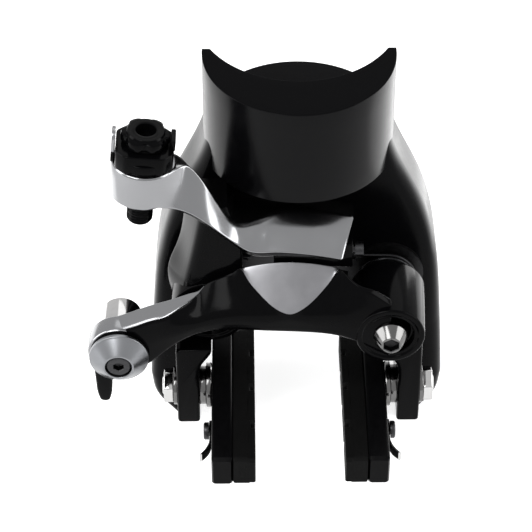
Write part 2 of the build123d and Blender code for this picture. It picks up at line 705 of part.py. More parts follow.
LEVER_W = EYE_H + BLOCK_H / 2
LEVER_FACE = Plane(ADJ.origin, x_dir=-ADJ.y_dir, z_dir=-ADJ.x_dir)
with BuildPart() as release_lever:
    with BuildSketch(LEVER_FACE.offset(BLOCK_FLAT + RUN_GAP)):
        with Locations((0, LEVER_W)):
            Circle(LEVER_BOSS_R)
        with Locations((0, LEVER_W + LEVER_REACH)):
            Circle(LEVER_TIP_R)
        make_hull()
    extrude(amount=LEVER_T)
    with BuildSketch(LEVER_FACE.offset(BLOCK_FLAT + RUN_GAP)):
        with Locations((0, LEVER_W)):
            Circle(LEVER_PIN_R)
    extrude(amount=-(BLOCK_FLAT - BLOCK_R / 2), mode=Mode.ADD)
finish(release_lever, "release_lever")


# ---------------------------------------------------------------- brake shoes
def rim_band(height, start, end):
    """Side view of a bar that follows the rim, from start to end along Y about the stud."""
    with BuildSketch() as band:
        with Locations((STUD_Y, WHEEL_Z)):
            Circle(RIM_R + height / 2)
            Circle(RIM_R - height / 2, mode=Mode.SUBTRACT)
        with Locations((STUD_Y + (start + end) / 2, STUD_Z)):
            Rectangle(end - start, 4 * height, mode=Mode.INTERSECT)
    return band.sketch


def across(side, x_inner, x_outer, face):
    """Solid of a side view between two distances from the wheel's mid-plane."""
    with BuildPart() as bar:
        extrude(Plane.YZ.offset(side * x_inner) * face, amount=side * (x_outer - x_inner))
    return bar.part


for side, name in ((-1, "left"), (1, "right")):
    outer_x = side * HOLDER_OUT
    stud_axis = Plane(origin=(outer_x, STUD_Y, STUD_Z), x_dir=(0, 1, 0), z_dir=(side, 0, 0))
    screw_axis = Plane(origin=(outer_x, SCREW_Y, SCREW_Z), x_dir=(0, 1, 0), z_dir=(side, 0, 0))

    with BuildPart() as holder:
        add(across(side, PAD_BACK, HOLDER_OUT, rim_band(SHOE_H, -SHOE_FRONT, SHOE_REAR)))
        channel = across(
            side, PAD_BACK, PAD_BACK + TONGUE, rim_band(TONGUE_H + 0.2, -SHOE_FRONT, SHOE_REAR - 2)
        )
        add(channel, mode=Mode.SUBTRACT)
        with BuildSketch(screw_axis):
            Circle(PAD_SCREW_R)
        extrude(amount=-(HOLDER_T - TONGUE), mode=Mode.SUBTRACT)
        with BuildSketch(stud_axis):
            Circle(STUD_R)
        extrude(amount=-(HOLDER_T - TONGUE - 1), mode=Mode.SUBTRACT)
    finish(holder, f"{name}_shoe_holder")

    with BuildPart() as pad:
        add(across(side, PAD_FACE_X, PAD_BACK, rim_band(PAD_H, -SHOE_FRONT, SHOE_REAR)))
        add(
            across(
                side, PAD_BACK, PAD_BACK + TONGUE, rim_band(TONGUE_H, -SHOE_FRONT, SHOE_REAR - 2.2)
            )
        )
        with BuildSketch(Plane.YZ.offset(side * PAD_FACE_X)):
            with Locations(*[(STUD_Y + y, STUD_Z) for y in PAD_GROOVES]):
                Rectangle(PAD_GROOVE_W, 2 * PAD_H)
        extrude(amount=side * PAD_GROOVE_DEEP, mode=Mode.SUBTRACT)
    finish(pad, f"{name}_brake_pad")

    with BuildPart() as stud:
        with BuildSketch(stud_axis):
            Circle(STUD_R)
        extrude(amount=STUD_OUT)
        with BuildSketch(stud_axis):
            Circle(STUD_R)
        extrude(amount=-(HOLDER_T - TONGUE - 1))
    finish(stud, f"{name}_shoe_stud")

    gap = LIMB_IN - HOLDER_OUT
    with BuildPart() as washers:
        for start, thick, radius in (
            (0, gap * 0.45, WASHER_R - 1),
            (gap * 0.45, gap * 0.55, WASHER_R),
            (gap + LIMB_T, OUTER_WASHER_T, WASHER_R),
        ):
            with BuildSketch(stud_axis.offset(start)):
                Circle(radius)
                Circle(STUD_R + RUN_GAP, mode=Mode.SUBTRACT)
            extrude(amount=thick)
    finish(washers, f"{name}_shoe_washers")

    with BuildPart() as nut:
        with BuildSketch(stud_axis.offset(gap + LIMB_T + OUTER_WASHER_T)):
            RegularPolygon(NUT_AF / 2, 6, major_radius=False)
            Circle(STUD_R + RUN_GAP, mode=Mode.SUBTRACT)
        extrude(amount=NUT_T)
    finish(nut, f"{name}_shoe_nut")

    with BuildPart() as screw:
        with BuildSketch(screw_axis.offset(CLIP_T)):
            Circle(PAD_SCREW_R + 1.3)
        extrude(amount=1.7)
        with BuildSketch(screw_axis.offset(CLIP_T)):
            Circle(PAD_SCREW_R)
        extrude(amount=-(HOLDER_T - TONGUE + CLIP_T - 0.2))
        with BuildSketch(screw_axis.offset(CLIP_T + 1.7)):
            RegularPolygon(1, 6, major_radius=False)
        extrude(amount=-1.2, mode=Mode.SUBTRACT)
    finish(screw, f"{name}_pad_screw")

    with BuildPart() as clip:
        with BuildSketch(screw_axis):
            Circle(PAD_SCREW_R + 1.2)
            with Locations((-CLIP_LEN / 2, -0.3)):
                Rectangle(CLIP_LEN, 2 * PAD_SCREW_R + 0.6)
            Circle(PAD_SCREW_R + RUN_GAP, mode=Mode.SUBTRACT)
        extrude(amount=CLIP_T)
        with BuildSketch(Plane(origin=(outer_x, SCREW_Y - CLIP_LEN, SCREW_Z - 0.3))) as leaf:
            with BuildLine():
                Polyline(
                    (0, 0),
                    (side * CLIP_T, 0),
                    (side * (CLIP_T + CLIP_LIFT), -CLIP_LEAF),
                    (side * CLIP_LIFT, -CLIP_LEAF),
                    close=True,
                )
            make_face()
        extrude(amount=PAD_SCREW_R + 0.3, both=True)
    finish(clip, f"{name}_pad_clip")
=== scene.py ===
import json
from math import cos, pi, radians, sin, tan

import bmesh
import bpy
import numpy as np
from bpy.props import FloatProperty, FloatVectorProperty, IntProperty, PointerProperty
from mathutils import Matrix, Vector

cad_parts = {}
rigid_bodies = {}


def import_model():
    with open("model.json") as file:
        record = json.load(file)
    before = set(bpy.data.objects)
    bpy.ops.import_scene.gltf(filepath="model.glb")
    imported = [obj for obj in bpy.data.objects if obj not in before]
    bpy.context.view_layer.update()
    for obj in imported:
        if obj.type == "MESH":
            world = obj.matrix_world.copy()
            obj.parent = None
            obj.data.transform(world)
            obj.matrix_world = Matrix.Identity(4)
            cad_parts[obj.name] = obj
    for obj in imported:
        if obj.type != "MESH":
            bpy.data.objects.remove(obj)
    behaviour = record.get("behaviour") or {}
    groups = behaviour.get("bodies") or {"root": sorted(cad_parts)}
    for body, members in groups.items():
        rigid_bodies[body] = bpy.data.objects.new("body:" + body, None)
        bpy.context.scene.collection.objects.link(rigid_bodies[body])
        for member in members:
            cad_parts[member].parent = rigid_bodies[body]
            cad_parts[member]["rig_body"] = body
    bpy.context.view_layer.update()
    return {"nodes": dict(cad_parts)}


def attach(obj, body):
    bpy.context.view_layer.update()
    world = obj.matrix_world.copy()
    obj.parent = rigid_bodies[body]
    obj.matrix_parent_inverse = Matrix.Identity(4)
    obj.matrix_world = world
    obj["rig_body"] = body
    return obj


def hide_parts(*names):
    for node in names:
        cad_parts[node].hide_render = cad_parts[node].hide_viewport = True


bl_info = {
    "name": "Rim brake caliper",
    "version": (1, 0, 0),
    "blender": (4, 5, 0),
    "location": "3D View > Sidebar > Brake",
    "description": "Dresses the CAD model of a direct-mount rim brake and lights it",
    "category": "Object",
}

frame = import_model()
MM = 0.001  # the shapes below are written in millimetres
MERGE = 1e-7  # points closer than this, in metres, are made one


# -------- sizes
class CaliperSizes(bpy.types.PropertyGroup):
    stations: IntProperty(
        name="Stations", description="Sections along each arm", default=140, min=24, max=300)
    hub_r: FloatProperty(
        name="Hub radius", description="Radius of both pivot hubs",
        subtype="DISTANCE", unit="LENGTH", default=12.0 * MM)
    crown_r: FloatProperty(
        name="Crown radius", description="Outer radius of the crown",
        subtype="DISTANCE", unit="LENGTH", default=29.4 * MM)
    seat_r: FloatProperty(
        name="Seat radius", description="Radius of the concave tube seat",
        subtype="DISTANCE", unit="LENGTH", default=31.2 * MM)


class StageSizes(bpy.types.PropertyGroup):
    floor: FloatVectorProperty(
        name="Floor", description="Colour of the floor",
        subtype="COLOR", default=(0.82, 0.82, 0.82))
    key: FloatProperty(
        name="Key", description="Power of the key lamp", subtype="POWER", default=6.0)
    fill: FloatProperty(
        name="Fill", description="Power of the side lamps", subtype="POWER", default=4.0)
    card: FloatProperty(
        name="Cards", description="Power of the small lamps beside the crown",
        subtype="POWER", default=0.009)
    sky: FloatProperty(
        name="Sky", description="Strength of the diffuse surroundings",
        subtype="FACTOR", default=0.35)


# -------- curves
def run_length(points):
    """Length run along a polyline at each of its points, from nought."""
    return np.concatenate([[0], np.cumsum(np.linalg.norm(np.diff(points, axis=0), axis=1))])


def cubic(knots, values, at):
    """Natural cubic through values at the knots, read at the given places. Its second derivatives
    m solve h[i-1] m[i-1] + 2 (h[i-1] + h[i]) m[i] + h[i] m[i+1] = 6 times the change of slope at
    each inner knot, and are nought at both ends."""
    h = np.diff(knots)[:, None]
    slope = np.diff(values, axis=0) / h
    n = len(knots)
    a = np.eye(n)
    b = np.zeros_like(values)
    i = np.arange(1, n - 1)
    a[i, i - 1] = h[:-1, 0]
    a[i, i] = 2 * (h[:-1, 0] + h[1:, 0])
    a[i, i + 1] = h[1:, 0]
    b[1:-1] = 6 * np.diff(slope, axis=0)
    m = np.linalg.solve(a, b)
    k = np.clip(np.searchsorted(knots, at, side="right") - 1, 0, n - 2)
    w = (at - knots[k])[:, None]
    g = h[k]
    return (
        values[k] + w * (slope[k] - g * (2 * m[k] + m[k + 1]) / 6)
        + w**2 * m[k] / 2 + w**3 * (m[k + 1] - m[k]) / (6 * g)
    )


def spline(points, count):
    """Smooth curve through the points: a natural cubic over the length run between them, read at
    count evenly spaced lengths."""
    p = np.asarray(points, float)
    run = run_length(p)
    return cubic(run, p, np.linspace(0, run[-1], count))


def resampled(points, share):
    """Polyline read at shares of its length."""
    run = run_length(points)
    return np.stack([np.interp(share * run[-1], run, c) for c in points.T], axis=1)


def rails(tables, count, axis=0):
    """Corner curves of a lofted bar. Each table of (x, y, z) runs along one axis from its first to
    its last point, and all are read at the same shares of that run: (stations, corners, xyz)."""
    share = np.linspace(0, 1, count)
    curves = []
    for table in tables:
        p = np.asarray(table, float)
        run = (p[:, axis] - p[0, axis]) / (p[-1, axis] - p[0, axis])
        curves.append(cubic(run, p, share))
    return np.stack(curves, axis=1)


def rounded(corners, radii, arc, side):
    """Ring of points round each station's polygon. At a corner the ring follows the quadratic
    Bezier from radius before the corner to radius after it; straight sides get side points."""
    c = np.asarray(corners, float)
    r = np.broadcast_to(np.asarray(radii, float), c.shape[:2])
    before = np.roll(c, 1, axis=1) - c
    after = np.roll(c, -1, axis=1) - c
    reach_before = np.linalg.norm(before, axis=2) + 1e-9
    reach_after = np.linalg.norm(after, axis=2) + 1e-9
    cut = np.minimum(r, 0.46 * np.minimum(reach_before, reach_after))
    start = c + before / reach_before[..., None] * cut[..., None]
    end = c + after / reach_after[..., None] * cut[..., None]
    t = np.linspace(0, 1, arc)[None, None, :, None]
    bend = (1 - t) ** 2 * start[:, :, None] + 2 * t * (1 - t) * c[:, :, None] + t**2 * end[:, :, None]
    follow = np.roll(start, -1, axis=1)
    u = np.linspace(0, 1, side + 2)[1:-1][None, None, :, None]
    flat = (1 - u) * end[:, :, None] + u * follow[:, :, None]
    return np.concatenate([bend, flat], axis=2).reshape(len(c), -1, 3)


ARC, SIDE = 7, 4  # points on each rounded corner and on each straight side of a bar's section


def facet(rings, corner, corners):
    """Which faces of a ring lie between the middle of one rounded corner and the next."""
    step = ARC + SIDE
    first = corner * step + ARC // 2
    return (np.arange(rings.shape[1]) - first) % (corners * step) < step


def softened(rings, edge=0.35):
    """Bar whose two ends get a small chamfer: the end section shrinks by the edge, and a full
    section is added the edge away from it."""
    ends, body = [], rings.copy()
    for k, beside in ((0, 1), (-1, -2)):
        away = rings[k] - rings[k].mean(axis=0)
        ends.append(rings[k] - away / (np.linalg.norm(away, axis=1, keepdims=True) + 1e-9) * edge)
        step = (rings[beside] - rings[k]).mean(axis=0)
        body[k] += step / np.linalg.norm(step) * edge
    return np.concatenate([ends[:1], body, ends[1:]])


def outline(points, radii, arc=6):
    """Closed flat outline (n, 2): a polygon whose corners are rounded."""
    p = np.asarray(points, float)
    p3 = np.concatenate([p, np.zeros((len(p), 1))], axis=1)[None]
    return rounded(p3, radii, arc, 1)[0, :, :2]


def circle(radius, count, centre=(0.0, 0.0)):
    """Closed flat outline (n, 2): the centre plus the radius times (cosine, sine) of the turn."""
    a = np.linspace(0, 2 * pi, count, endpoint=False)
    return np.stack([centre[0] + radius * np.cos(a), centre[1] + radius * np.sin(a)], axis=1)


def edge_profile(points, radius, arc=4):
    """Open profile whose inner corners are rounded by quadratic Beziers of the given radius."""
    p = np.asarray(points, float)
    out = [p[:1]]
    t = np.linspace(0, 1, arc)[:, None]
    for a, b, c in zip(p[:-2], p[1:-1], p[2:]):
        to_a, to_c = np.linalg.norm(a - b), np.linalg.norm(c - b)
        r = min(radius, 0.45 * to_a, 0.45 * to_c)
        start, end = b + (a - b) / to_a * r, b + (c - b) / to_c * r
        out.append((1 - t) ** 2 * start + 2 * t * (1 - t) * b + t**2 * end)
    out.append(p[-1:])
    return np.concatenate(out)


# -------- meshes
def skin(rings, offset):
    """Points and faces of the closed tube through rings (stations, n, xyz), wrapped round n,
    with a flat cap at each end. Faces count their points from offset."""
    s, n, _ = rings.shape
    i, j = np.meshgrid(np.arange(s - 1), np.arange(n), indexing="ij")
    k = (j + 1) % n
    quads = np.stack([i * n + j, i * n + k, (i + 1) * n + k, (i + 1) * n + j], axis=-1)
    faces = (quads.reshape(-1, 4) + offset).tolist()
    faces.append((np.arange(n)[::-1] + offset).tolist())
    faces.append((np.arange(n) + (s - 1) * n + offset).tolist())
    return rings.reshape(-1, 3), faces


def solid(name, shells, sharp):
    """One object from closed shells in millimetres. A shell is its rings, or its rings and their
    material slot: one number, one for each face round the ring, or one for each face of all rings.
    Double points are made one, faces are turned outwards, and the smooth shading breaks at edges
    sharper than the given angle in degrees."""
    points, faces, slots, start = [], [], [], 0
    for shell in shells:
        rings, marks = shell if isinstance(shell, tuple) else (shell, 0)
        if np.ndim(marks) == 2 and len(marks) < len(rings) - 1:  # softened ends have one ring more
            marks = np.pad(marks, ((1, 1), (0, 0)), mode="edge")
        marks = np.broadcast_to(marks, (len(rings) - 1, rings.shape[1]))
        shell_points, shell_faces = skin(rings, start)
        points.append(shell_points)
        faces += shell_faces
        slots += [*marks.ravel().tolist(), int(marks[0].min()), int(marks[-1].min())]
        start += len(shell_points)
    mesh = bpy.data.meshes.new(name)
    mesh.from_pydata((np.concatenate(points) * MM).tolist(), [], faces)
    mesh.update()
    mesh.validate()
    mesh.polygons.foreach_set("material_index", np.asarray(slots, np.int32))
    mesh.polygons.foreach_set("use_smooth", np.ones(len(mesh.polygons), bool))
    work = bmesh.new()
    work.from_mesh(mesh)
    bmesh.ops.remove_doubles(work, verts=work.verts, dist=MERGE)
    bmesh.ops.recalc_face_normals(work, faces=work.faces)
    work.to_mesh(mesh)
    work.free()
    mesh.set_sharp_from_angle(angle=radians(sharp))
    obj = bpy.data.objects.new(name, mesh)
    bpy.context.scene.collection.objects.link(obj)
    return obj


def place(flat, depth, basis):
    """Points of a flat figure (n, 2) at a height along the third axis of basis = (origin, x, y, z)."""
    o, x, y, z = (np.asarray(v, float) for v in basis)
    return o + flat[:, :1] * x + flat[:, 1:] * y + depth * z


def inset(flat, amount):
    """Outline moved inwards along its own normals: the tangent between a point's neighbours,
    turned a quarter to the side on which the outline's area lies."""
    ahead = np.roll(flat, -1, axis=0) - np.roll(flat, 1, axis=0)
    normal = np.stack([-ahead[:, 1], ahead[:, 0]], axis=1)
    normal /= np.linalg.norm(normal, axis=1)[:, None] + 1e-12
    area = np.sum(flat[:, 0] * np.roll(flat[:, 1], -1) - np.roll(flat[:, 0], -1) * flat[:, 1])
    return flat + normal * amount * np.sign(area)


def slab(flat, low, high, basis, edge):
    """Rings of a plate: the outline from low to high with both rims rounded to a quarter circle."""
    a = np.linspace(0, pi / 2, 4)
    d = np.concatenate([edge * (1 - np.sin(a)), edge * (1 - np.sin(a[::-1]))])
    h = np.concatenate([low + edge * (1 - np.cos(a)), high - edge * (1 - np.cos(a[::-1]))])
    return np.stack([place(inset(flat, i), z, basis) for i, z in zip(d, h)])


def lathe(profile, basis, count):
    """Rings of a turned part: profile rows are (radius, height) along the third axis of basis."""
    o, x, y, z = (np.asarray(v, float) for v in basis)
    a = np.linspace(0, 2 * pi, count, endpoint=False)
    spoke = np.cos(a)[:, None] * x + np.sin(a)[:, None] * y
    return o + profile[:, 0, None, None] * spoke + profile[:, 1, None, None] * z


def hexagon_socket(x, z, front, inradius, steps, count):
    """Rings of a hexagon socket in a head that faces the front. The radius at each turn is the
    inradius over the cosine of the turn from the nearest flat's middle, times the share of each
    step (share, depth below the front)."""
    a = np.linspace(0, 2 * pi, count, endpoint=False)
    radius = inradius / np.cos((a + pi / 6) % (pi / 3) - pi / 6)
    spoke = np.stack([np.cos(a), np.zeros(count), np.sin(a)], axis=1)
    return np.stack([
        np.array([x, depth - front, z]) + spoke * (radius * share)[:, None] for share, depth in steps])


def front_basis(x, z):
    """Basis of a part whose axis points to the front of the brake."""
    return (x, 0, z), (1, 0, 0), (0, 0, 1), (0, -1, 0)


def side_basis(side, y, z):
    """Basis of a part whose axis points outwards to one side."""
    return (0, y, z), (0, -side, 0), (0, 0, 1), (side, 0, 0)


def dress(node, name, shells, finishes, sharp=30, replaced=()):
    """Build the solid that stands for a CAD node, and any others it replaces, give it its finishes
    and let it ride on the node's body."""
    obj = solid(name, shells, sharp)
    for key in finishes:
        obj.data.materials.append(finish(key))
    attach(obj, frame["nodes"][node]["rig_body"])
    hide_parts(node, *replaced)


# -------- finishes
class Surface:
    """A material on the principled shader. Keywords set the shader's inputs, with an underscore
    for each blank."""

    def __init__(self, name, **constants):
        self.material = bpy.data.materials.new(name)
        self.material.use_nodes = True
        self.tree = self.material.node_tree
        self.shader = self.tree.nodes["Principled BSDF"]
        for key, value in constants.items():
            self.shader.inputs[key.replace("_", " ")].default_value = value

    def node(self, kind, **inputs):
        node = self.tree.nodes.new(kind)
        for key, value in inputs.items():
            node.inputs[key.replace("_", " ")].default_value = value
        return node

    def link(self, output, target):
        self.tree.links.new(output, target)

    def grain(self, scale, detail):
        """Noise on object coordinates."""
        where = self.node("ShaderNodeTexCoord")
        noise = self.node("ShaderNodeTexNoise", Scale=scale, Detail=detail)
        self.link(where.outputs["Object"], noise.inputs["Vector"])
        return noise.outputs["Fac"]

    def coloured(self, low, high, factor):
        """Base colour between two colours, driven by a factor."""
        ramp = self.node("ShaderNodeValToRGB")
        ramp.color_ramp.elements[0].color = (*low, 1)
        ramp.color_ramp.elements[1].color = (*high, 1)
        self.link(factor, ramp.inputs["Fac"])
        self.link(ramp.outputs["Color"], self.shader.inputs["Base Color"])

    def rough(self, low, high, factor):
        """Roughness from low to high while the factor goes from 0.3 to 0.7."""
        span = self.node("ShaderNodeMapRange", From_Min=0.3, From_Max=0.7, To_Min=low, To_Max=high)
        self.link(factor, span.inputs["Value"])
        self.link(span.outputs["Result"], self.shader.inputs["Roughness"])

    def bumped(self, strength, distance, factor):
        """Height of the surface, up to the distance in metres."""
        bump = self.node("ShaderNodeBump", Strength=strength, Distance=distance)
        self.link(factor, bump.inputs["Height"])
        self.link(bump.outputs["Normal"], self.shader.inputs["Normal"])


def metal(name, low, high, rough, scale, bump=0.01):
    """Bare metal: one fine grain in colour, roughness and height."""
    surface = Surface(name, Metallic=1.0)
    grain = surface.grain(scale, 3.0)
    surface.coloured(low, high, grain)
    surface.rough(*rough, grain)
    surface.bumped(bump, 0.00002, grain)
    return surface.material


def lacquer(name, low, high, rough, level, scale=500.0, bump=0.02):
    """Painted or anodised surface: dark colour with faint flakes, and soft waves in its height."""
    surface = Surface(name, Specular_IOR_Level=level)
    grain = surface.grain(scale, 5.0)
    surface.coloured(low, high, grain)
    surface.rough(*rough, grain)
    surface.bumped(bump, 0.0001, surface.grain(60.0, 2.0))
    return surface.material


def moulded(name, low, high):
    """Moulded rubber: fine pores and a dull, slightly cloudy colour."""
    surface = Surface(name, Specular_IOR_Level=0.05)
    pores = surface.grain(1400.0, 6.0)
    surface.coloured(low, high, surface.grain(120.0, 3.0))
    surface.rough(0.45, 0.7, pores)
    surface.bumped(0.25, 0.00005, pores)
    return surface.material


FRAME_BLACK = (0.0012, 0.0012, 0.0015), (0.0022, 0.0022, 0.0026)
# maker, name, darkest and lightest colour, then the maker's other values
FINISHES = {
    "crown": (lacquer, "crown_lacquer", *FRAME_BLACK, (0.2, 0.25), 0.075),
    "cut": (
        lacquer, "cut_face", (0.0016, 0.0016, 0.0018), (0.0026, 0.0026, 0.003), (0.5, 0.6), 0.02,
        1500, 0.1),
    "stay": (lacquer, "stay_lacquer", *FRAME_BLACK, (0.18, 0.22), 0.04),
    "black": (
        lacquer, "gloss_black", (0.001, 0.001, 0.0012), (0.0018, 0.0018, 0.0021), (0.12, 0.16), 0.04),
    "satin_black": (
        lacquer, "satin_black", (0.0012, 0.0012, 0.0014), (0.0022, 0.0022, 0.0025), (0.28, 0.36), 0.05),
    "silver": (metal, "satin_silver", (0.22, 0.222, 0.23), (0.235, 0.237, 0.243), (0.17, 0.19), 150),
    "shield": (metal, "grey_facet", (0.2, 0.2, 0.21), (0.23, 0.23, 0.24), (0.3, 0.34), 300),
    "cone": (metal, "cone_grey", (0.19, 0.195, 0.205), (0.2, 0.205, 0.215), (0.28, 0.3), 150),
    "steel": (metal, "polished_steel", (0.42, 0.418, 0.415), (0.5, 0.497, 0.494), (0.06, 0.1), 400),
    "bolt": (metal, "bolt_steel", (0.11, 0.109, 0.108), (0.13, 0.129, 0.128), (0.12, 0.16), 400),
    # plain steel of the inner parts, also used as painted shade inside the pivot bolts' sockets
    "plain_steel_and_socket_shade": (
        metal, "plain_steel_and_socket_shade", (0.02, 0.02, 0.021), (0.035, 0.035, 0.036), (0.35, 0.45), 700, 0.05),
    "dark_steel": (
        metal, "dark_steel", (0.03, 0.03, 0.032), (0.05, 0.05, 0.052), (0.25, 0.35), 1200, 0.05),
    "spring": (
        metal, "black_spring_wire", (0.012, 0.012, 0.013), (0.02, 0.02, 0.021), (0.25, 0.35), 700, 0.05),
    "bronze": (
        metal, "sintered_bronze", (0.05, 0.035, 0.02), (0.08, 0.055, 0.03), (0.4, 0.5), 2000, 0.2),
    "rubber": (moulded, "pad_rubber", (0.0015, 0.0015, 0.0015), (0.003, 0.003, 0.003)),
    "ring": (moulded, "ring_rubber", (0.002, 0.002, 0.002), (0.004, 0.004, 0.004)),
}
MADE = {}  # materials made so far, by finish


def finish(key):
    """Material of a finish, made when it is first asked for."""
    if key not in MADE:
        make, *values = FINISHES[key]
        MADE[key] = make(*values)
    return MADE[key]


# -------- places
PIVOT = 28.0  # from the middle to each pivot; the pivots' axes lie on x = -28 and 28, z = 0
ANCHOR = (-56.4, -9.6)  # axis of the cable anchor, x and z
STUD = (-17.0, -33.5)  # axis of both shoe studs, y and z
RIM_R = 311.0  # the shoes follow a rim of this radius

# the cable adjuster's axis starts below its eye and leans to the right
ADJUSTER_LEAN = radians(5.5)
ADJUSTER_UP = np.array([sin(ADJUSTER_LEAN), 0, cos(ADJUSTER_LEAN)])
ADJUSTER_RIGHT = np.array([cos(ADJUSTER_LEAN), 0, -sin(ADJUSTER_LEAN)])
ADJUSTER_START = np.array([-47.6, -18.0, 48.4])
ADJUSTER_BASIS = (ADJUSTER_START, ADJUSTER_RIGHT, (0, 1, 0), ADJUSTER_UP)
EYE_TOP = 12.0  # heights along that axis
BLOCK_TOP = EYE_TOP + 6.3
KNOB_FOOT = BLOCK_TOP + 1.0

BRAKE_FRONT = front_basis(0, 0)  # for flat figures seen from the front, in x and z


# -------- frame section
CROWN_CENTRE_Y = 12.5  # centre of the crown's outer arc
SEAT_FRONT_Y = -1.3  # foremost point of the concave seat
HORN_Y = 14.0  # flat cut of both horns
CROWN_LOW, SEAT_FLOOR, CROWN_TOP = 42.0, 51.7, 75.0
CROWN_TILT = radians(4.3)  # the cut top rises to the rear
STAY_DEPTH = 28.0

# edges of the right stay seen from the front, in x and z: round the toe, up the outside to the
# shoulder, over it to the middle, and the straight inside
TOE = [(35.2, -64.8), (39.5, -64.8), (47.6, -56.4), (48.6, -48)]
OUTSIDE = [(48.6, -48), (46.3, -12), (43.9, 8), (38.8, 25.5), (31.2, 42), (27.5, 53)]
SHOULDER = [(27.5, 53), (24.8, 52.6), (24.0, 49.0), (0.0, 49.0)]
INSIDE = [(34.5, -64.7), (33.5, -12)]
ARCH_RISE = 9  # of the flat quarter ellipse over the tyre


def cut_arc(radius, centre_y):
    """Arc (n, 2) round (0, centre_y) that ends in the flat cut of the horns: it turns either way by
    the arc cosine of the way from the cut to the centre over the radius."""
    turn = np.linspace(-1, 1, 145) * np.arccos((centre_y - HORN_Y) / radius)
    return np.stack([radius * np.sin(turn), centre_y - radius * np.cos(turn)], axis=1)


class BRAKE_OT_crown(bpy.types.Operator):
    """Crown: half-round wall cut by a concave seat, with the seat's flat floor behind it"""

    bl_idname = "brake.crown"
    bl_label = "Crown"

    def execute(self, context):
        crown_r = context.scene.caliper_sizes.crown_r / MM
        seat_r = context.scene.caliper_sizes.seat_r / MM
        outer = cut_arc(crown_r, CROWN_CENTRE_Y)
        inner = cut_arc(seat_r, SEAT_FRONT_Y + seat_r)

        def level(flat, z):
            return np.column_stack([flat, np.broadcast_to(z, len(flat))])

        def top(flat):
            return CROWN_TOP + (flat[:, 1] - (CROWN_CENTRE_Y - crown_r)) * tan(CROWN_TILT)

        corners = [
            level(outer, CROWN_LOW), level(outer, top(outer)),
            level(inner, top(inner)), level(inner, CROWN_LOW),
        ]
        wall = rounded(np.stack(corners, axis=1), 0.3, ARC, SIDE)
        cut = facet(wall, 1, 4) | facet(wall, 2, 4)
        dress("frame_crown", "crown_wall", [(softened(wall, 0.2), cut)], ["crown", "cut"], sharp=38)

        # the floor stays just inside the wall's outer and lower faces
        upright = ((0, 0, 0), (1, 0, 0), (0, 1, 0), (0, 0, 1))
        figure = circle(crown_r - 0.04, 160, (0, CROWN_CENTRE_Y + 1.0))
        disc = solid("crown_floor", [slab(figure, CROWN_LOW + 0.04, SEAT_FLOOR, upright, 0.15)], 38)
        disc.data.materials.append(finish("cut"))
        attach(disc, "frame")
        return {"FINISHED"}


class BRAKE_OT_stays(bpy.types.Operator):
    """Bridge and stays: one arch whose section is carried from toe to toe"""

    bl_idname = "brake.stays"
    bl_label = "Bridge and stays"

    def execute(self, context):
        toe = edge_profile(TOE, 6.0, 9)[:-1]
        outer = np.concatenate([toe, spline(OUTSIDE, 90), edge_profile(SHOULDER, 1.0)[1:]])
        rise = np.linspace(0, pi / 2, 40)
        arch_x, arch_z = INSIDE[-1]
        arch = np.stack([arch_x * np.cos(rise), arch_z + ARCH_RISE * np.sin(rise)], axis=1)
        inner = np.concatenate([np.linspace(*INSIDE, 60)[:-1], arch])
        # both edges get the same number of stations, on the inner one wider apart near the toe
        share = np.linspace(0, 1, 220)
        mirror = np.array([-1.0, 1.0])

        def toe_to_toe(edge):
            return np.concatenate([edge, (edge * mirror)[::-1][1:]])

        outer = toe_to_toe(resampled(outer, share))
        inner = toe_to_toe(resampled(inner, share**0.85))

        def at(edge, y):
            return np.column_stack([edge[:, 0], np.full(len(edge), y), edge[:, 1]])

        corners = [at(outer, 0.0), at(outer, STAY_DEPTH), at(inner, STAY_DEPTH), at(inner, 0.0)]
        arch_bar = rounded(np.stack(corners, axis=1), [7.4, 7.4, 1.0, 1.0], 11, SIDE)
        dress("frame_bridge", "bridge_and_stays", [softened(arch_bar, 0.6)], ["stay"], sharp=50,
              replaced=("left_stay", "right_stay"))
        return {"FINISHED"}


# -------- arms
# depths are counted forwards from y = 0, the front of the bridge
NECK_REAR, HUB_REAR = 1.5, 8.7
LIMB_REAR, LIMB_FRONT = 9.25, 24.75
EYE_REAR, EYE_FRONT = 20.3, 27.2  # of the cable anchor
NECK_R, RECESS_R = 7.9, 7.3  # of the neck that the spring goes round and of the bolt's recess

# corner rails of the anchor arm's beam: top edge behind, brow, front edge, bottom edge
ANCHOR_CREST = [
    (-58, -20.3, -0.4), (-51, -20.6, 2.8), (-46.4, -20.8, 5.0), (-41.7, -21, 6.8), (-37, -21, 8.7),
    (-33, -21, 10.4), (-30.8, -21, 11.6), (-29.4, -21, 13.2), (-27.6, -21, 14.6),
    (-23.9, -21, 16.6), (-20.6, -21, 18.4), (-18.2, -21, 20), (-15.9, -21, 20.8),
    (-12.9, -21, 21.5), (-7.7, -21, 22.3), (-2.9, -21, 22.5), (1.5, -21, 22.2), (6.1, -21, 21.5),
    (9.8, -21, 20.5), (12.1, -21.2, 19.6), (14.5, -23, 18.6), (17.2, -25.4, 17.4), (22, -26.6, 16),
    (28, -27, 12),
]
ANCHOR_BROW = [
    (-58, -26.6, -0.8), (-51, -27.2, 1.8), (-46.4, -27.5, 4.2), (-41.7, -27.8, 6.2),
    (-37, -25.9, 8.4), (-33, -24, 10.2), (-30.8, -22.2, 11.6), (-29.4, -21.5, 13.1),
    (-27.6, -21.5, 14.5), (-23.9, -21.5, 16.4), (-20.6, -21.5, 18.2), (-18.2, -21.6, 20.2),
    (-16.3, -23.6, 18.1), (-13.4, -26.1, 15.2), (-9.1, -29.1, 11.9), (-5.1, -30.7, 10),
    (-3, -31, 9.7), (-0.3, -30.4, 10.4), (3.6, -28.5, 12.5), (7.6, -25.7, 15.7), (9.8, -23.8, 17.8),
    (12, -21.9, 19.8), (14.5, -23.8, 18.5), (17.2, -26.3, 17.2), (22, -28, 15), (28, -29, 11),
]
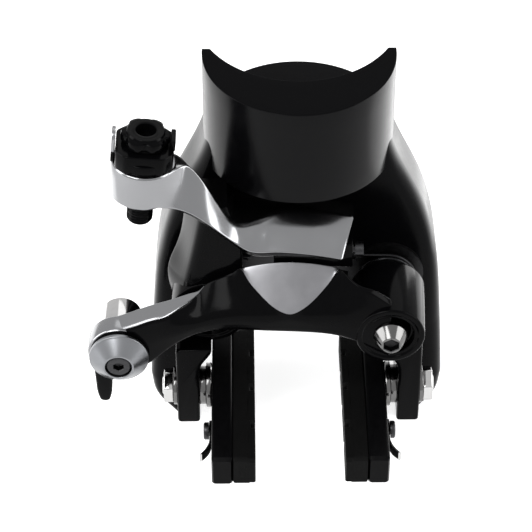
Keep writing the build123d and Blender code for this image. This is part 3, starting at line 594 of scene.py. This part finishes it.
ANCHOR_BELLY = [
    (-58, -27.2, -4), (-51, -28, -4), (-44, -29, -1), (-38, -29.5, 2), (-33.5, -29.8, 4),
    (-29, -30, 6), (-24, -30.4, 7.6), (-18.8, -30.8, 8.2), (-12, -31, 8), (-3.4, -31.2, 7.6),
    (5.3, -31, 7.8), (11.4, -30.7, 8.4), (17, -30.7, 8), (22, -30.8, 6), (28, -30.9, 3),
]
ANCHOR_FOOT = [
    (-58, -27, -18), (-51, -27.4, -16.6), (-45.5, -27.9, -12.6), (-40.8, -28.2, -7.6),
    (-36.5, -28.5, -3.8), (-30, -29, 0), (-24.3, -29.6, 1.4), (-18.8, -30, 1.9), (-12, -30.4, 1.8),
    (-3.4, -30.6, 1.5), (5.3, -30.6, 0.8), (12.2, -30.6, -0.6), (18, -30.8, -3), (23, -30.9, -6),
    (28, -31, -9),
]
ANCHOR_HEEL = [(x, -20.3, z + 0.4) for x, _, z in ANCHOR_FOOT]  # behind the bottom edge
SILVER_X = (-57.5, -29.0)  # where the top facet is bare silver, and where it is the grey shield
SHIELD_X = (-18.6, 12.2)

# corner rails of the adjuster arm's body: front edge, ridge, the scoop's floor, back edge and the
# two edges below
ADJUSTER_LOW = [
    (-47, -27.2, 48.7), (-40.7, -27, 48.7), (-36.1, -26.2, 47.3), (-32, -26, 45),
    (-28.7, -26, 42.3), (-23.6, -26, 37.6), (-18.5, -26, 32.9), (-16, -26, 31), (-13.9, -26, 30.3),
    (-8, -26, 30.3), (-2.7, -26, 30), (6.5, -26, 28.6), (12.6, -26, 27.2),
]
ADJUSTER_RIDGE = [
    (-47, -27, 60), (-40, -25, 59.8), (-36.5, -21, 59.4), (-34, -18.6, 58.6), (-31.6, -19, 56.6),
    (-27.1, -20, 49.6), (-25.1, -20, 45.6), (-23.1, -20, 41.6), (-20.8, -20.5, 38.4),
    (-18.4, -21, 36.9), (-15.7, -20.6, 36.6), (-11.5, -18, 36.9), (-8.8, -16, 37.4),
    (-5.5, -14.4, 37.3), (0, -13.4, 36.5), (7, -12.4, 35), (16.6, -11.4, 32),
]
ADJUSTER_FLOOR = [
    (-44, -15, 59.6), (-39, -12, 58.4), (-35.2, -11, 54.8), (-31.5, -11, 48.6), (-28, -11.5, 42.6),
    (-24.5, -12, 38.8), (-20, -12, 36.7), (-15.7, -12.2, 36.1), (-11.5, -12.4, 36.4), (-6, -11, 37),
    (3, -10.6, 35.6), (16.6, -10.2, 31.9),
]
ADJUSTER_BACK = [
    (-44, -9, 58.6), (-39, -7.4, 55), (-35.2, -5.4, 49.5), (-31, -4.2, 42.8), (-27.3, -4, 38),
    (-22, -4, 36.4), (-17, -4, 35), (-11.5, -4, 34.8), (-6, -4, 34.6), (5.5, -4, 33.6),
    (16.6, -4, 31),
]
ADJUSTER_HEEL = [
    (-44, -9, 50), (-39, -7.4, 46), (-35.2, -5.4, 41), (-31, -4.2, 35), (-27.3, -4, 29),
    (-22, -4, 26), (-17, -4, 25), (-11.5, -4, 25), (-6, -4, 25), (5.5, -4, 25), (15.6, -4, 25),
]
ADJUSTER_FOOT = [
    (-47, -25.5, 48.4), (-40.7, -25.4, 48.3), (-36.5, -24.6, 45.8), (-32.4, -24.2, 43),
    (-29, -24, 40), (-24.5, -23.5, 35), (-19, -23, 29.6), (-16, -23, 27.2), (-13.9, -23, 26.3),
    (-8, -23, 26.2), (-2.7, -23, 26), (6.5, -23, 25.4), (12.8, -23, 25),
]
# the column at five heights: z, then x of its left side behind and in front, and of its right side
COLUMN = [
    (-2, -41, -35.6, -17), (8, -41.4, -35.2, -17.2), (17, -38.4, -33.8, -17.4),
    (29, -36, -31.4, -18.5), (42, -34.5, -29, -22),
]
COLUMN_REAR_Y, COLUMN_FRONT_Y = -4.2, -19.0
TRACK = [(-8, 20.2), (16.2, 19.0), (16.2, 28), (-8, 28)]  # for the roller, seen from the front


def hub(side, front, radius, front_radius):
    """Turned hub with its bolt recess, from the spring's neck to the front. A rim 1.7 wide stands
    round the face, which lies 0.5 deeper; the recess goes in 3. Both ends are closed flat."""
    face, recess = front - 0.5, front - 3.0
    profile = [
        (6.5, NECK_REAR), (NECK_R, NECK_REAR), (NECK_R, HUB_REAR), (radius, HUB_REAR),
        (front_radius, front), (front_radius - 1.7, front), (front_radius - 2.1, face),
        (RECESS_R, face), (RECESS_R, recess), (5.2, recess),
    ]
    return lathe(edge_profile(profile, 0.7, 6), front_basis(side * PIVOT, 0), 128)


def limb(side, top):
    """Limb down to the shoe: a plate seen from the front, rounded on all long edges. Its top is
    given as points from the outer to the inner side."""
    points = [(31.7, -43), (38.9, -43), *top, (27.7, -13), (31.7, -19)]
    radii = [1.2, 1.2, *[1.5] * len(top), 3, 3]
    shape = outline([(side * x, z) for x, z in points], radii, 5)
    return slab(shape, LIMB_REAR, LIMB_FRONT, BRAKE_FRONT, 0.9)


class BRAKE_OT_anchor_arm(bpy.types.Operator):
    """Anchor arm: beam over the tyre with its silver facets, hub and right limb"""

    bl_idname = "brake.anchor_arm"
    bl_label = "Anchor arm"

    def execute(self, context):
        count = context.scene.caliper_sizes.stations
        hub_r = context.scene.caliper_sizes.hub_r / MM
        corners = rails([ANCHOR_CREST, ANCHOR_BROW, ANCHOR_BELLY, ANCHOR_FOOT, ANCHOR_HEEL], count)
        x = corners[:, 1, 0]
        radii = np.tile([0.6, 0.0, 5.0, 1.6, 0.8], (count, 1))
        radii[:, 1] = np.interp(x, [-42, -34, -30, 20], [1.8, 1.0, 0.25, 0.25])
        beam = rounded(corners, radii, ARC, SIDE)
        top = facet(beam, 0, 5)
        x = x[1:, None]
        silver = (x < SILVER_X[1]) & (x > SILVER_X[0]) & top
        shield = (x >= SHIELD_X[0]) & (x < SHIELD_X[1]) & top
        shells = [
            (softened(beam), silver * 1 + shield * 2),
            (slab(circle(9.8, 128, ANCHOR), EYE_REAR, EYE_FRONT, BRAKE_FRONT, 0.7), 1),
            limb(1, [(38.9, -12), (38.4, -2), (21.5, -2)]),
            hub(1, 31.0, hub_r, hub_r - 1.4),
        ]
        dress("anchor_arm", "anchor_arm_body", shells, ["black", "silver", "shield"])
        return {"FINISHED"}


class BRAKE_OT_adjuster_arm(bpy.types.Operator):
    """Adjuster arm: eye, scooped silver body, black column, hub and left limb"""

    bl_idname = "brake.adjuster_arm"
    bl_label = "Adjuster arm"

    def body(self, count):
        """Scooped body, silver, with the black finish behind and below: black paint behind, and painted
        shade on the underside and on the lower front face in the gap above the anchor arm.
        """
        corners = rails([
            ADJUSTER_LOW, ADJUSTER_RIDGE, ADJUSTER_FLOOR, ADJUSTER_BACK, ADJUSTER_HEEL, ADJUSTER_FOOT,
        ], count)
        x = corners[:, 1, 0]
        # the plateau bulges forwards and up between its front edge and the ridge
        bulge = np.interp(x, [-18, -9, 6, 14], [0, 1.5, 1.5, 1.0])[:, None]
        fold = 0.55 * corners[:, 0] + 0.45 * corners[:, 1] + bulge * np.array([0, -0.52, 0.85])
        corners = np.insert(corners, 1, fold, axis=1)
        radii = np.tile([0.5, 5.0, 0.0, 2.5, 0.8, 1.0, 1.0], (count, 1))
        radii[:, 2] = np.interp(x, [-36, -30, -18, -12, -6, 10], [1.2, 0.5, 1.6, 2.6, 1.2, 0.8])
        bar = rounded(corners, radii, ARC, SIDE)
        # the faces behind are painted black; the bottom and the lower front face get black as painted
        # shade
        black = facet(bar, 4, 7) | facet(bar, 5, 7) | facet(bar, 6, 7)
        return softened(bar, 0.3), ~black

    def column(self):
        """Black column between the hub and the body, carried up from below."""
        z, left_rear, left_front, right = zip(*COLUMN)
        corners = rails([
            [(x, y, h) for x, h in zip(side, z)]
            for side, y in (
                (left_rear, COLUMN_REAR_Y), (left_front, COLUMN_FRONT_Y),
                (right, COLUMN_FRONT_Y), (right, COLUMN_REAR_Y),
            )
        ], 70, axis=2)
        return softened(rounded(corners, [1.6, 3.2, 1.0, 1.0], ARC, SIDE))

    def execute(self, context):
        hub_r = context.scene.caliper_sizes.hub_r / MM
        shells = [
            self.body(context.scene.caliper_sizes.stations),
            (slab(circle(9.7, 128), 0.0, EYE_TOP, ADJUSTER_BASIS, 0.7), 1),
            self.column(),
            limb(-1, [(38.9, -11), (27.5, -11)]),
            hub(-1, 19.2, hub_r, hub_r),
            # the roller track takes the black finish as painted shade, where it shows in the gap between
            # the arms
            slab(outline(TRACK, [0.5] * 4, 3), 11.7, 20.0, BRAKE_FRONT, 0.4),
        ]
        dress("adjuster_arm", "adjuster_arm_body", shells, ["black", "silver"])
        return {"FINISHED"}


# -------- bolts and cable anchor
# node, side, where the head starts, its cylinder ends and its top lies, radius of the top
PIVOT_BOLTS = (
    ("left_mounting_bolt", -1, 16.2, 17.5, 18.8, 4.85),
    ("right_mounting_bolt", 1, 28.0, 31.3, 35.2, 3.1),
)
CAP_REAR = 28.5  # and front of the clamp plate
CAP_SEAT = CAP_REAR + 1.8  # under the anchor bolt's head
CLAMP_TAB = [
    (-64.6, -12.5), (-64.0, -26.0), (-63.0, -29.5), (-60.2, -29.5), (-59.3, -26.0), (-58.5, -12.5)]


class BRAKE_OT_pivot_bolts(bpy.types.Operator):
    """Both mounting bolts: cone head, flat nose and hexagon socket"""

    bl_idname = "brake.pivot_bolts"
    bl_label = "Pivot bolts"

    def execute(self, context):
        for node, side, seat, cylinder, top, nose in PIVOT_BOLTS:
            profile = [
                (3.0, -13.0), (3.0, seat), (5.45, seat), (5.45, cylinder), (nose, top), (2.75, top)]
            body = lathe(edge_profile(profile, 0.35, 5), front_basis(side * PIVOT, 0), 96)
            steps = [(1.08, 0.0), (1.0, 0.25), (1.0, 2.2), (0.0001, 2.9)]
            socket = hexagon_socket(side * PIVOT, 0, top, 2.25, steps, 96)
            rings = np.concatenate([body, socket])
            # the socket's inside gets the near-black steel as painted shade in the recess
            inside = np.arange(len(rings) - 1)[:, None] >= len(body)
            dress(node, node + "_head", [(rings, inside)], ["bolt", "plain_steel_and_socket_shade"])
        return {"FINISHED"}


class BRAKE_OT_anchor(bpy.types.Operator):
    """Cable anchor: cone cap, its bolt, the clamp plate with its tab and the nut behind"""

    bl_idname = "brake.anchor"
    bl_label = "Cable anchor"

    def cap(self):
        profile = [
            (2.6, CAP_REAR), (9.3, CAP_REAR), (9.3, CAP_REAR + 1.1), (8.9, CAP_REAR + 1.35),
            (4.75, CAP_REAR + 5.3), (4.2, CAP_REAR + 5.3), (4.2, CAP_SEAT), (2.6, CAP_SEAT),
            (2.6, CAP_REAR),
        ]
        cap = lathe(edge_profile(profile, 0.18), front_basis(*ANCHOR), 128)
        dress("anchor_cap", "anchor_cone", [cap], ["cone"])

    def bolt(self):
        top = CAP_SEAT + 3.2
        profile = [
            (2.5, 9.3), (2.5, CAP_SEAT), (4.1, CAP_SEAT), (4.1, top - 0.7), (3.4, top), (2.2, top)]
        head = lathe(edge_profile(profile, 0.3), front_basis(*ANCHOR), 96)
        steps = [(1.1, 0.0), (1.0, 0.2), (1.0, 2.0), (0.0001, 2.4)]
        socket = hexagon_socket(*ANCHOR, top, 1.5, steps, 96)
        rings = np.concatenate([head, socket])
        dress("anchor_bolt", "anchor_bolt_head", [rings], ["dark_steel"])

    def clamp(self):
        plate = slab(circle(8.5, 96, ANCHOR), EYE_FRONT, CAP_REAR, BRAKE_FRONT, 0.2)
        tab = slab(outline(CLAMP_TAB, [2, 2, 1.4, 1.4, 2, 2]), 24.8, 28.4, BRAKE_FRONT, 0.9)
        dress("cable_clamp_plate", "anchor_clamp", [plate, tab], ["satin_black"], sharp=38)

    def nut(self):
        profile = [
            (2.53, EYE_REAR), (6.3, EYE_REAR), (6.3, 8.2), (5.6, 7.3), (2.53, 7.3), (2.53, EYE_REAR)]
        nut = lathe(edge_profile(profile, 0.3), front_basis(*ANCHOR), 96)
        dress("anchor_nut", "anchor_nut_body", [nut], ["steel"])

    def execute(self, context):
        self.cap()
        self.bolt()
        self.clamp()
        self.nut()
        return {"FINISHED"}


# -------- cable adjuster
THREAD_R, THREAD_DEPTH, THREAD_END = 3.98, 0.28, 1.0  # the thread is cut below its end
BARREL_LOW = -10.5
# the knob from below: radius, height above its foot, whether the radius is added to the lobes'
KNOB = [
    (4.2, 0.0, False), (-0.4, 0.0, True), (-0.08, 0.1, True), (0, 0.4, True), (0, 2.1, True),
    (-0.12, 2.5, True), (-0.5, 2.75, True), (6.05, 2.85, False), (5.75, 3.0, False), (5.6, 3.3, False),
    (5.4, 3.55, False), (4.9, 3.6, False), (3.5, 3.6, False), (3.1, 3.45, False), (3.05, 3.2, False),
    (3.05, -5.4, False), (0.0001, -5.6, False),
]
BLOCK = [
    (-8.6, -5.2), (-5.6, -8.0), (5.6, -8.0), (8.6, -5.2),
    (8.6, 5.2), (5.6, 8.0), (-5.6, 8.0), (-8.6, 5.2),
]
BLOCK_TAB = [(7.5, -3.2), (8.9, -3.2), (8.9, 3.2), (7.5, 3.2)]
LEVER = [(-3.4, -3.4), (3.4, -3.4), (3.4, 2.0), (2.6, 7.4), (-2.6, 7.4), (-3.4, 2.0)]


class BRAKE_OT_adjuster(bpy.types.Operator):
    """Cable adjuster: threaded barrel, lobed knob with a raised collar, block and lever"""

    bl_idname = "brake.adjuster"
    bl_label = "Cable adjuster"

    def knob(self):
        """Barrel and knob. A wave is half of one less the cosine of a turn. The thread takes its
        depth times one wave for each millimetre off the barrel's radius, and six waves, squared,
        take up to 1.1 off the knob's."""
        height = np.linspace(BARREL_LOW, KNOB_FOOT - 1.0, 220)
        depth = THREAD_DEPTH * (height < THREAD_END)
        radius = THREAD_R - depth * (0.5 - 0.5 * np.cos(2 * pi * height))
        radius = np.where(height < BARREL_LOW + 0.6, 3.5, radius)
        profile = np.stack([radius, height], axis=1)
        profile = np.concatenate([[(1.1, BARREL_LOW)], profile, [(1.1, KNOB_FOOT - 1.0)]])
        turn = np.linspace(0, 2 * pi, 144, endpoint=False)
        lobes = 7.3 - 1.1 * (0.5 - 0.5 * np.cos(6 * turn)) ** 2
        knob = np.stack([
            place(circle(lobes + r if lobed else r, 144), KNOB_FOOT + h, ADJUSTER_BASIS)
            for r, h, lobed in KNOB])
        barrel = lathe(profile, ADJUSTER_BASIS, 64)
        dress("cable_adjuster", "adjuster_knob", [barrel, knob], ["black"])

    def block(self):
        """Octagonal block on a round foot, with a tab up its right side."""
        tab = outline(BLOCK_TAB, [0.4] * 4, 3)
        shells = [
            slab(outline(BLOCK, [1.0] * 8, 4), EYE_TOP, BLOCK_TOP, ADJUSTER_BASIS, 0.4),
            slab(circle(8.7, 96), EYE_TOP, EYE_TOP + 3.4, ADJUSTER_BASIS, 0.4),
            slab(tab, BLOCK_TOP - 0.3, BLOCK_TOP + 3.2, ADJUSTER_BASIS, 0.25),
        ]
        dress("release_block", "release_block_body", shells, ["black"])

    def lever(self):
        """Lever on the block's left side, silver on its upper part. Its lower part gets the black finish
        as painted shade, standing for the pocket in the block that it sinks into.
        """
        middle = ADJUSTER_START + ADJUSTER_UP * (EYE_TOP + BLOCK_TOP) / 2
        basis = (middle, (0, 1, 0), ADJUSTER_UP, -ADJUSTER_RIGHT)
        plate = slab(outline(LEVER, [3.0, 3.0, 2, 2.3, 2.3, 2], 7), 8.75, 9.9, basis, 0.3)
        # below this the silver lever is painted black, as the shade of the block's pocket
        upper = (plate[1:] - middle) @ ADJUSTER_UP > 1.5
        dress("release_lever", "release_lever_plate", [(plate, upper)], ["black", "silver"])

    def ring(self):
        low, high = KNOB_FOOT - 1, KNOB_FOOT
        profile = [(4.03, low), (5.9, low), (5.9, high), (4.03, high), (4.03, low)]
        ring = lathe(edge_profile(profile, 0.45, 5), ADJUSTER_BASIS, 96)
        dress("adjuster_o_ring", "adjuster_ring", [ring], ["ring"], sharp=38)

    def execute(self, context):
        self.knob()
        self.block()
        self.lever()
        self.ring()
        return {"FINISHED"}


# -------- shoes
SHOE = (-37.2, 22.2)  # front and rear end, from the stud
GROOVES = ((-23.2, -21.8), (-7.2, -5.8), (8.8, 10.2))  # front and rear of each, from the stud
HOLDER_X = (21.2, 27.8)
PAD_X = (14.0, 17.0, 21.2)  # the pad's face, the back of its blocks, its own back
SCREW = (-36.5, -35.0)  # axis of the pad screws, y and z
NUT_CORNER_R = 5.7735  # to the corners of a nut 10 across its flats
WASHERS = [  # radius and distance from the middle: cup washer, flat washer, nut's washer
    [(3.03, 27.8), (7.0, 27.8), (7.3, 28.2), (7.3, 29.6), (3.03, 29.6), (3.03, 27.8)],
    [(3.03, 29.65), (6.3, 29.65), (6.3, 31.7), (3.03, 31.7), (3.03, 29.65)],
    [(3.03, 38.9), (6.2, 38.9), (6.2, 40.1), (3.03, 40.1), (3.03, 38.9)],
]


def rim_bar(side, x0, x1, half_height, y0, y1, edge, count=60):
    """Bar that follows the rim: a rounded rectangle in x and radius, carried along the rim's arc
    from y0 to y1 about the stud. Its z goes with the root of the radius squared less y squared."""
    y = np.linspace(y0, y1, count)
    low, high = RIM_R - half_height, RIM_R + half_height

    def at(x, r):
        z = STUD[1] - RIM_R + np.sqrt(r * r - y * y)
        return np.stack([np.full(count, side * x), STUD[0] + y, z], axis=1)

    corners = [at(x0, low), at(x1, low), at(x1, high), at(x0, high)]
    rings = rounded(np.stack(corners, axis=1), edge, 5, 2)
    # both ends are pillowed: the last rings shrink towards their middle
    middle = rings.mean(axis=1, keepdims=True)
    shrink = 1 - edge / max(x1 - x0, 1)
    for k in (0, -1):
        rings[k] = middle[k] + (rings[k] - middle[k]) * shrink
    inner_y = rings[1:-1, :, 1]
    rings[1:-1, :, 1] = np.clip(inner_y, STUD[0] + y0 + edge * 0.6, STUD[0] + y1 - edge * 0.6)
    return rings


class BRAKE_OT_shoes(bpy.types.Operator):
    """Both shoes: holder, grooved pad, screw, clip, stud, washers and nut"""

    bl_idname = "brake.shoes"
    bl_label = "Brake shoes"

    def holder(self, side, name):
        bar = rim_bar(side, *HOLDER_X, 5.75, *SHOE, 1.0)
        dress(f"{name}_shoe_holder", f"{name}_holder_body", [bar], ["satin_black"], sharp=38)

    def pad(self, side, name):
        """Blocks between the grooves, all sunk in one base."""
        ends = [SHOE[0], *np.ravel(GROOVES), SHOE[1]]
        blocks = [
            rim_bar(side, PAD_X[0], PAD_X[1], 5.2, front, rear, 0.5, 16)
            for front, rear in zip(ends[::2], ends[1::2])]
        base = rim_bar(side, PAD_X[1] - 1.5, PAD_X[2], 5.2, SHOE[0] + 0.05, SHOE[1] - 0.05, 0.6)
        dress(f"{name}_brake_pad", f"{name}_pad_block", [*blocks, base], ["rubber"], sharp=38)

    def stud(self, side, name):
        """Stud with its washers and nut."""
        basis = side_basis(side, *STUD)
        profile = [(0.001, 24.5), (3.0, 24.5), (3.0, 43.3), (2.5, 43.8), (0.001, 43.8)]
        stud = lathe(edge_profile(profile, 0.2), basis, 64)
        dress(f"{name}_shoe_stud", f"{name}_stud_body", [stud], ["steel"], sharp=38)
        washers = [lathe(edge_profile(profile, 0.2), basis, 72) for profile in WASHERS]
        dress(f"{name}_shoe_washers", f"{name}_washer_set", washers, ["bolt"], sharp=38)
        turn = np.arange(6) * pi / 3 + pi / 6
        corners = NUT_CORNER_R * np.stack([np.cos(turn), np.sin(turn)], axis=1)
        nut = slab(outline(corners, [0.5] * 6, 5), 40.1, 43.3, basis, 0.45)
        dress(f"{name}_shoe_nut", f"{name}_nut_body", [nut], ["steel"])

    def screw(self, side, name):
        profile = [
            (0.001, 28.7), (2.8, 28.7), (2.8, 30.0), (2.4, 30.4), (1.2, 30.4), (1.1, 29.4),
            (0.001, 29.4),
        ]
        head = lathe(edge_profile(profile, 0.25), side_basis(side, *SCREW), 48)
        dress(f"{name}_pad_screw", f"{name}_screw_head", [head], ["dark_steel"])

    def clip(self, side, name):
        """Leaf along the holder's outer side, sinking a little to the front. Past y = -41.5 it
        bends outwards, by 3 times the square of the share run to its front end."""
        y = np.linspace(-33.6, -47.8, 40)
        lift = 3.0 * np.clip((-41.5 - y) / 6.3, 0, 1) ** 2
        z = np.interp(y, [-47.8, -41.5, -33.6], [-35.6, -35.3, -35.0])
        section = ((0.02, -1.75), (0.85, -1.75), (0.85, 1.75), (0.02, 1.75))
        leaf = [np.stack([side * (HOLDER_X[1] + dx + lift), y, z + dz], axis=1) for dx, dz in section]
        rings = rounded(np.stack(leaf, axis=1), 0.3, 4, 3)
        dress(f"{name}_pad_clip", f"{name}_clip_leaf", [rings], ["steel"])

    def execute(self, context):
        for side, name in ((-1, "left"), (1, "right")):
            self.holder(side, name)
            self.pad(side, name)
            self.stud(side, name)
            self.screw(side, name)
            self.clip(side, name)
        return {"FINISHED"}


# -------- CAD parts kept as they are
KEPT = {
    "back_plate": "plain_steel_and_socket_shade", "boss_inserts": "plain_steel_and_socket_shade", "left_pivot_sleeve": "plain_steel_and_socket_shade",
    "right_pivot_sleeve": "plain_steel_and_socket_shade", "anchor_arm_bush": "bronze", "adjuster_arm_bush": "bronze",
    "link_pin": "dark_steel", "link_roller": "bronze", "left_return_spring": "spring",
    "right_return_spring": "spring", "centring_screw": "dark_steel",
}


class BRAKE_OT_inner_parts(bpy.types.Operator):
    """Finishes for the CAD parts that are kept as they are"""

    bl_idname = "brake.inner_parts"
    bl_label = "Inner parts"

    def execute(self, context):
        for node, key in KEPT.items():
            materials = frame["nodes"][node].data.materials
            if not materials:
                materials.append(finish(key))
            for i in range(len(materials)):
                materials[i] = finish(key)
        return {"FINISHED"}


# -------- stage
FLOOR_Z = -0.0655  # the stage is in metres
MIDDLE = (-0.005, -0.01, 0.01)  # what the big lamps point at


def aim(obj, target):
    """Turn a lamp or camera towards a point."""
    obj.rotation_euler = (Vector(target) - obj.location).to_track_quat("-Z", "Y").to_euler()


def seen_white(tree, hidden, seen):
    """Strength of a light that is seen by the camera, in mirrors and through glass at one level
    and lights everything else at another."""
    path = tree.nodes.new("ShaderNodeLightPath")
    factor = path.outputs["Is Camera Ray"]
    for ray in ("Is Glossy Ray", "Is Transmission Ray"):
        larger = tree.nodes.new("ShaderNodeMath")
        larger.operation = "MAXIMUM"
        tree.links.new(factor, larger.inputs[0])
        tree.links.new(path.outputs[ray], larger.inputs[1])
        factor = larger.outputs[0]
    level = tree.nodes.new("ShaderNodeMapRange")
    level.inputs["To Min"].default_value = hidden
    level.inputs["To Max"].default_value = seen
    tree.links.new(factor, level.inputs["Value"])
    return level.outputs["Result"]


class BRAKE_OT_stage(bpy.types.Operator):
    """Pale floor, soft lamps, white surroundings and the camera"""

    bl_idname = "brake.stage"
    bl_label = "Stage"

    def floor(self, scene, colour):
        """Floor that lights up a little where it is seen, so that no horizon shows."""
        mesh = bpy.data.meshes.new("floor")
        far, z = 3.0, FLOOR_Z
        corners = [(-far, -far, z), (far, -far, z), (far, far, z), (-far, far, z)]
        mesh.from_pydata(corners, [], [(0, 1, 2, 3)])
        floor = bpy.data.objects.new("floor", mesh)
        scene.collection.objects.link(floor)
        surface = Surface("pale_floor", Roughness=0.7, Emission_Color=(1, 1, 1, 1))
        surface.coloured([c * 0.99 for c in colour], colour, surface.grain(3.0, 2.0))
        surface.link(seen_white(surface.tree, 0.0, 0.66), surface.shader.inputs["Emission Strength"])
        mesh.materials.append(surface.material)

    def surroundings(self, scene, strength):
        world = bpy.data.worlds.new("studio")
        world.use_nodes = True
        tree = world.node_tree
        back = tree.nodes["Background"]
        back.inputs["Color"].default_value = (1, 1, 1, 1)
        tree.links.new(seen_white(tree, strength, 1.0), back.inputs["Strength"])
        scene.world = world

    def lamps(self, scene, sizes):
        """Area lamps: name, place, target, size, power and spread in degrees."""
        for name, where, target, size, power, spread in [
            ("key", (-0.35, -0.45, 0.75), MIDDLE, (0.5, 0.5), sizes.key, 180),
            ("side_right", (0.75, -0.15, 0.35), MIDDLE, (0.35, 0.7), sizes.fill, 180),
            ("side_left", (-0.75, -0.1, 0.3), MIDDLE, (0.35, 0.7), sizes.fill, 180),
            ("rear", (0.15, 0.6, 0.7), MIDDLE, (0.8, 0.3), sizes.fill * 0.2, 180),
            ("rear_right", (0.55, 0.66, 0.12), MIDDLE, (0.16, 0.4), sizes.fill * 0.6, 180),
            ("card_right", (0.13, 0.07, -0.03), (0.03, 0.0, 0.05), (0.16, 0.06), sizes.card * 2.4, 100),
            ("card_left", (-0.125, 0.07, -0.035), (-0.03, 0.0, 0.04), (0.16, 0.05), sizes.card, 100),
        ]:
            data = bpy.data.lights.new(name, "AREA")
            data.shape = "RECTANGLE"
            data.size, data.size_y = size
            data.energy = power
            data.spread = radians(spread)
            lamp = bpy.data.objects.new(name, data)
            lamp.location = where
            scene.collection.objects.link(lamp)
            aim(lamp, target)

    def camera(self, scene):
        data = bpy.data.cameras.new("camera")
        data.lens = 148.2
        data.sensor_width = 36.0
        camera = bpy.data.objects.new("camera", data)
        camera.location = (-0.01659, -0.52698, 0.46057)
        scene.collection.objects.link(camera)
        aim(camera, (-0.01013, 0.00128, 0.00133))
        scene.camera = camera

    def execute(self, context):
        scene = context.scene
        sizes = scene.stage_sizes
        scene.view_settings.view_transform = "Standard"
        self.floor(scene, sizes.floor)
        self.surroundings(scene, sizes.sky)
        self.lamps(scene, sizes)
        self.camera(scene)
        return {"FINISHED"}


# -------- add-on
class BRAKE_PT_panel(bpy.types.Panel):
    """Sidebar panel with the sizes and the steps"""

    bl_label = "Rim brake caliper"
    bl_idname = "BRAKE_PT_panel"
    bl_space_type = "VIEW_3D"
    bl_region_type = "UI"
    bl_category = "Brake"

    def draw(self, context):
        for group in (context.scene.caliper_sizes, context.scene.stage_sizes):
            for name in group.__annotations__:
                self.layout.prop(group, name)
        for step in STEPS:
            self.layout.operator(step.bl_idname)


STEPS = (
    BRAKE_OT_crown, BRAKE_OT_stays, BRAKE_OT_anchor_arm, BRAKE_OT_adjuster_arm, BRAKE_OT_pivot_bolts,
    BRAKE_OT_anchor, BRAKE_OT_adjuster, BRAKE_OT_shoes, BRAKE_OT_inner_parts, BRAKE_OT_stage,
)
CLASSES = (CaliperSizes, StageSizes, *STEPS, BRAKE_PT_panel)


def register():
    for c in CLASSES:
        bpy.utils.register_class(c)
    bpy.types.Scene.caliper_sizes = PointerProperty(type=CaliperSizes)
    bpy.types.Scene.stage_sizes = PointerProperty(type=StageSizes)


def unregister():
    del bpy.types.Scene.stage_sizes
    del bpy.types.Scene.caliper_sizes
    for c in reversed(CLASSES):
        bpy.utils.unregister_class(c)


def main():
    register()
    for step in STEPS:
        getattr(bpy.ops.brake, step.bl_idname.split(".")[1])()


if __name__ == "__main__":
    main()
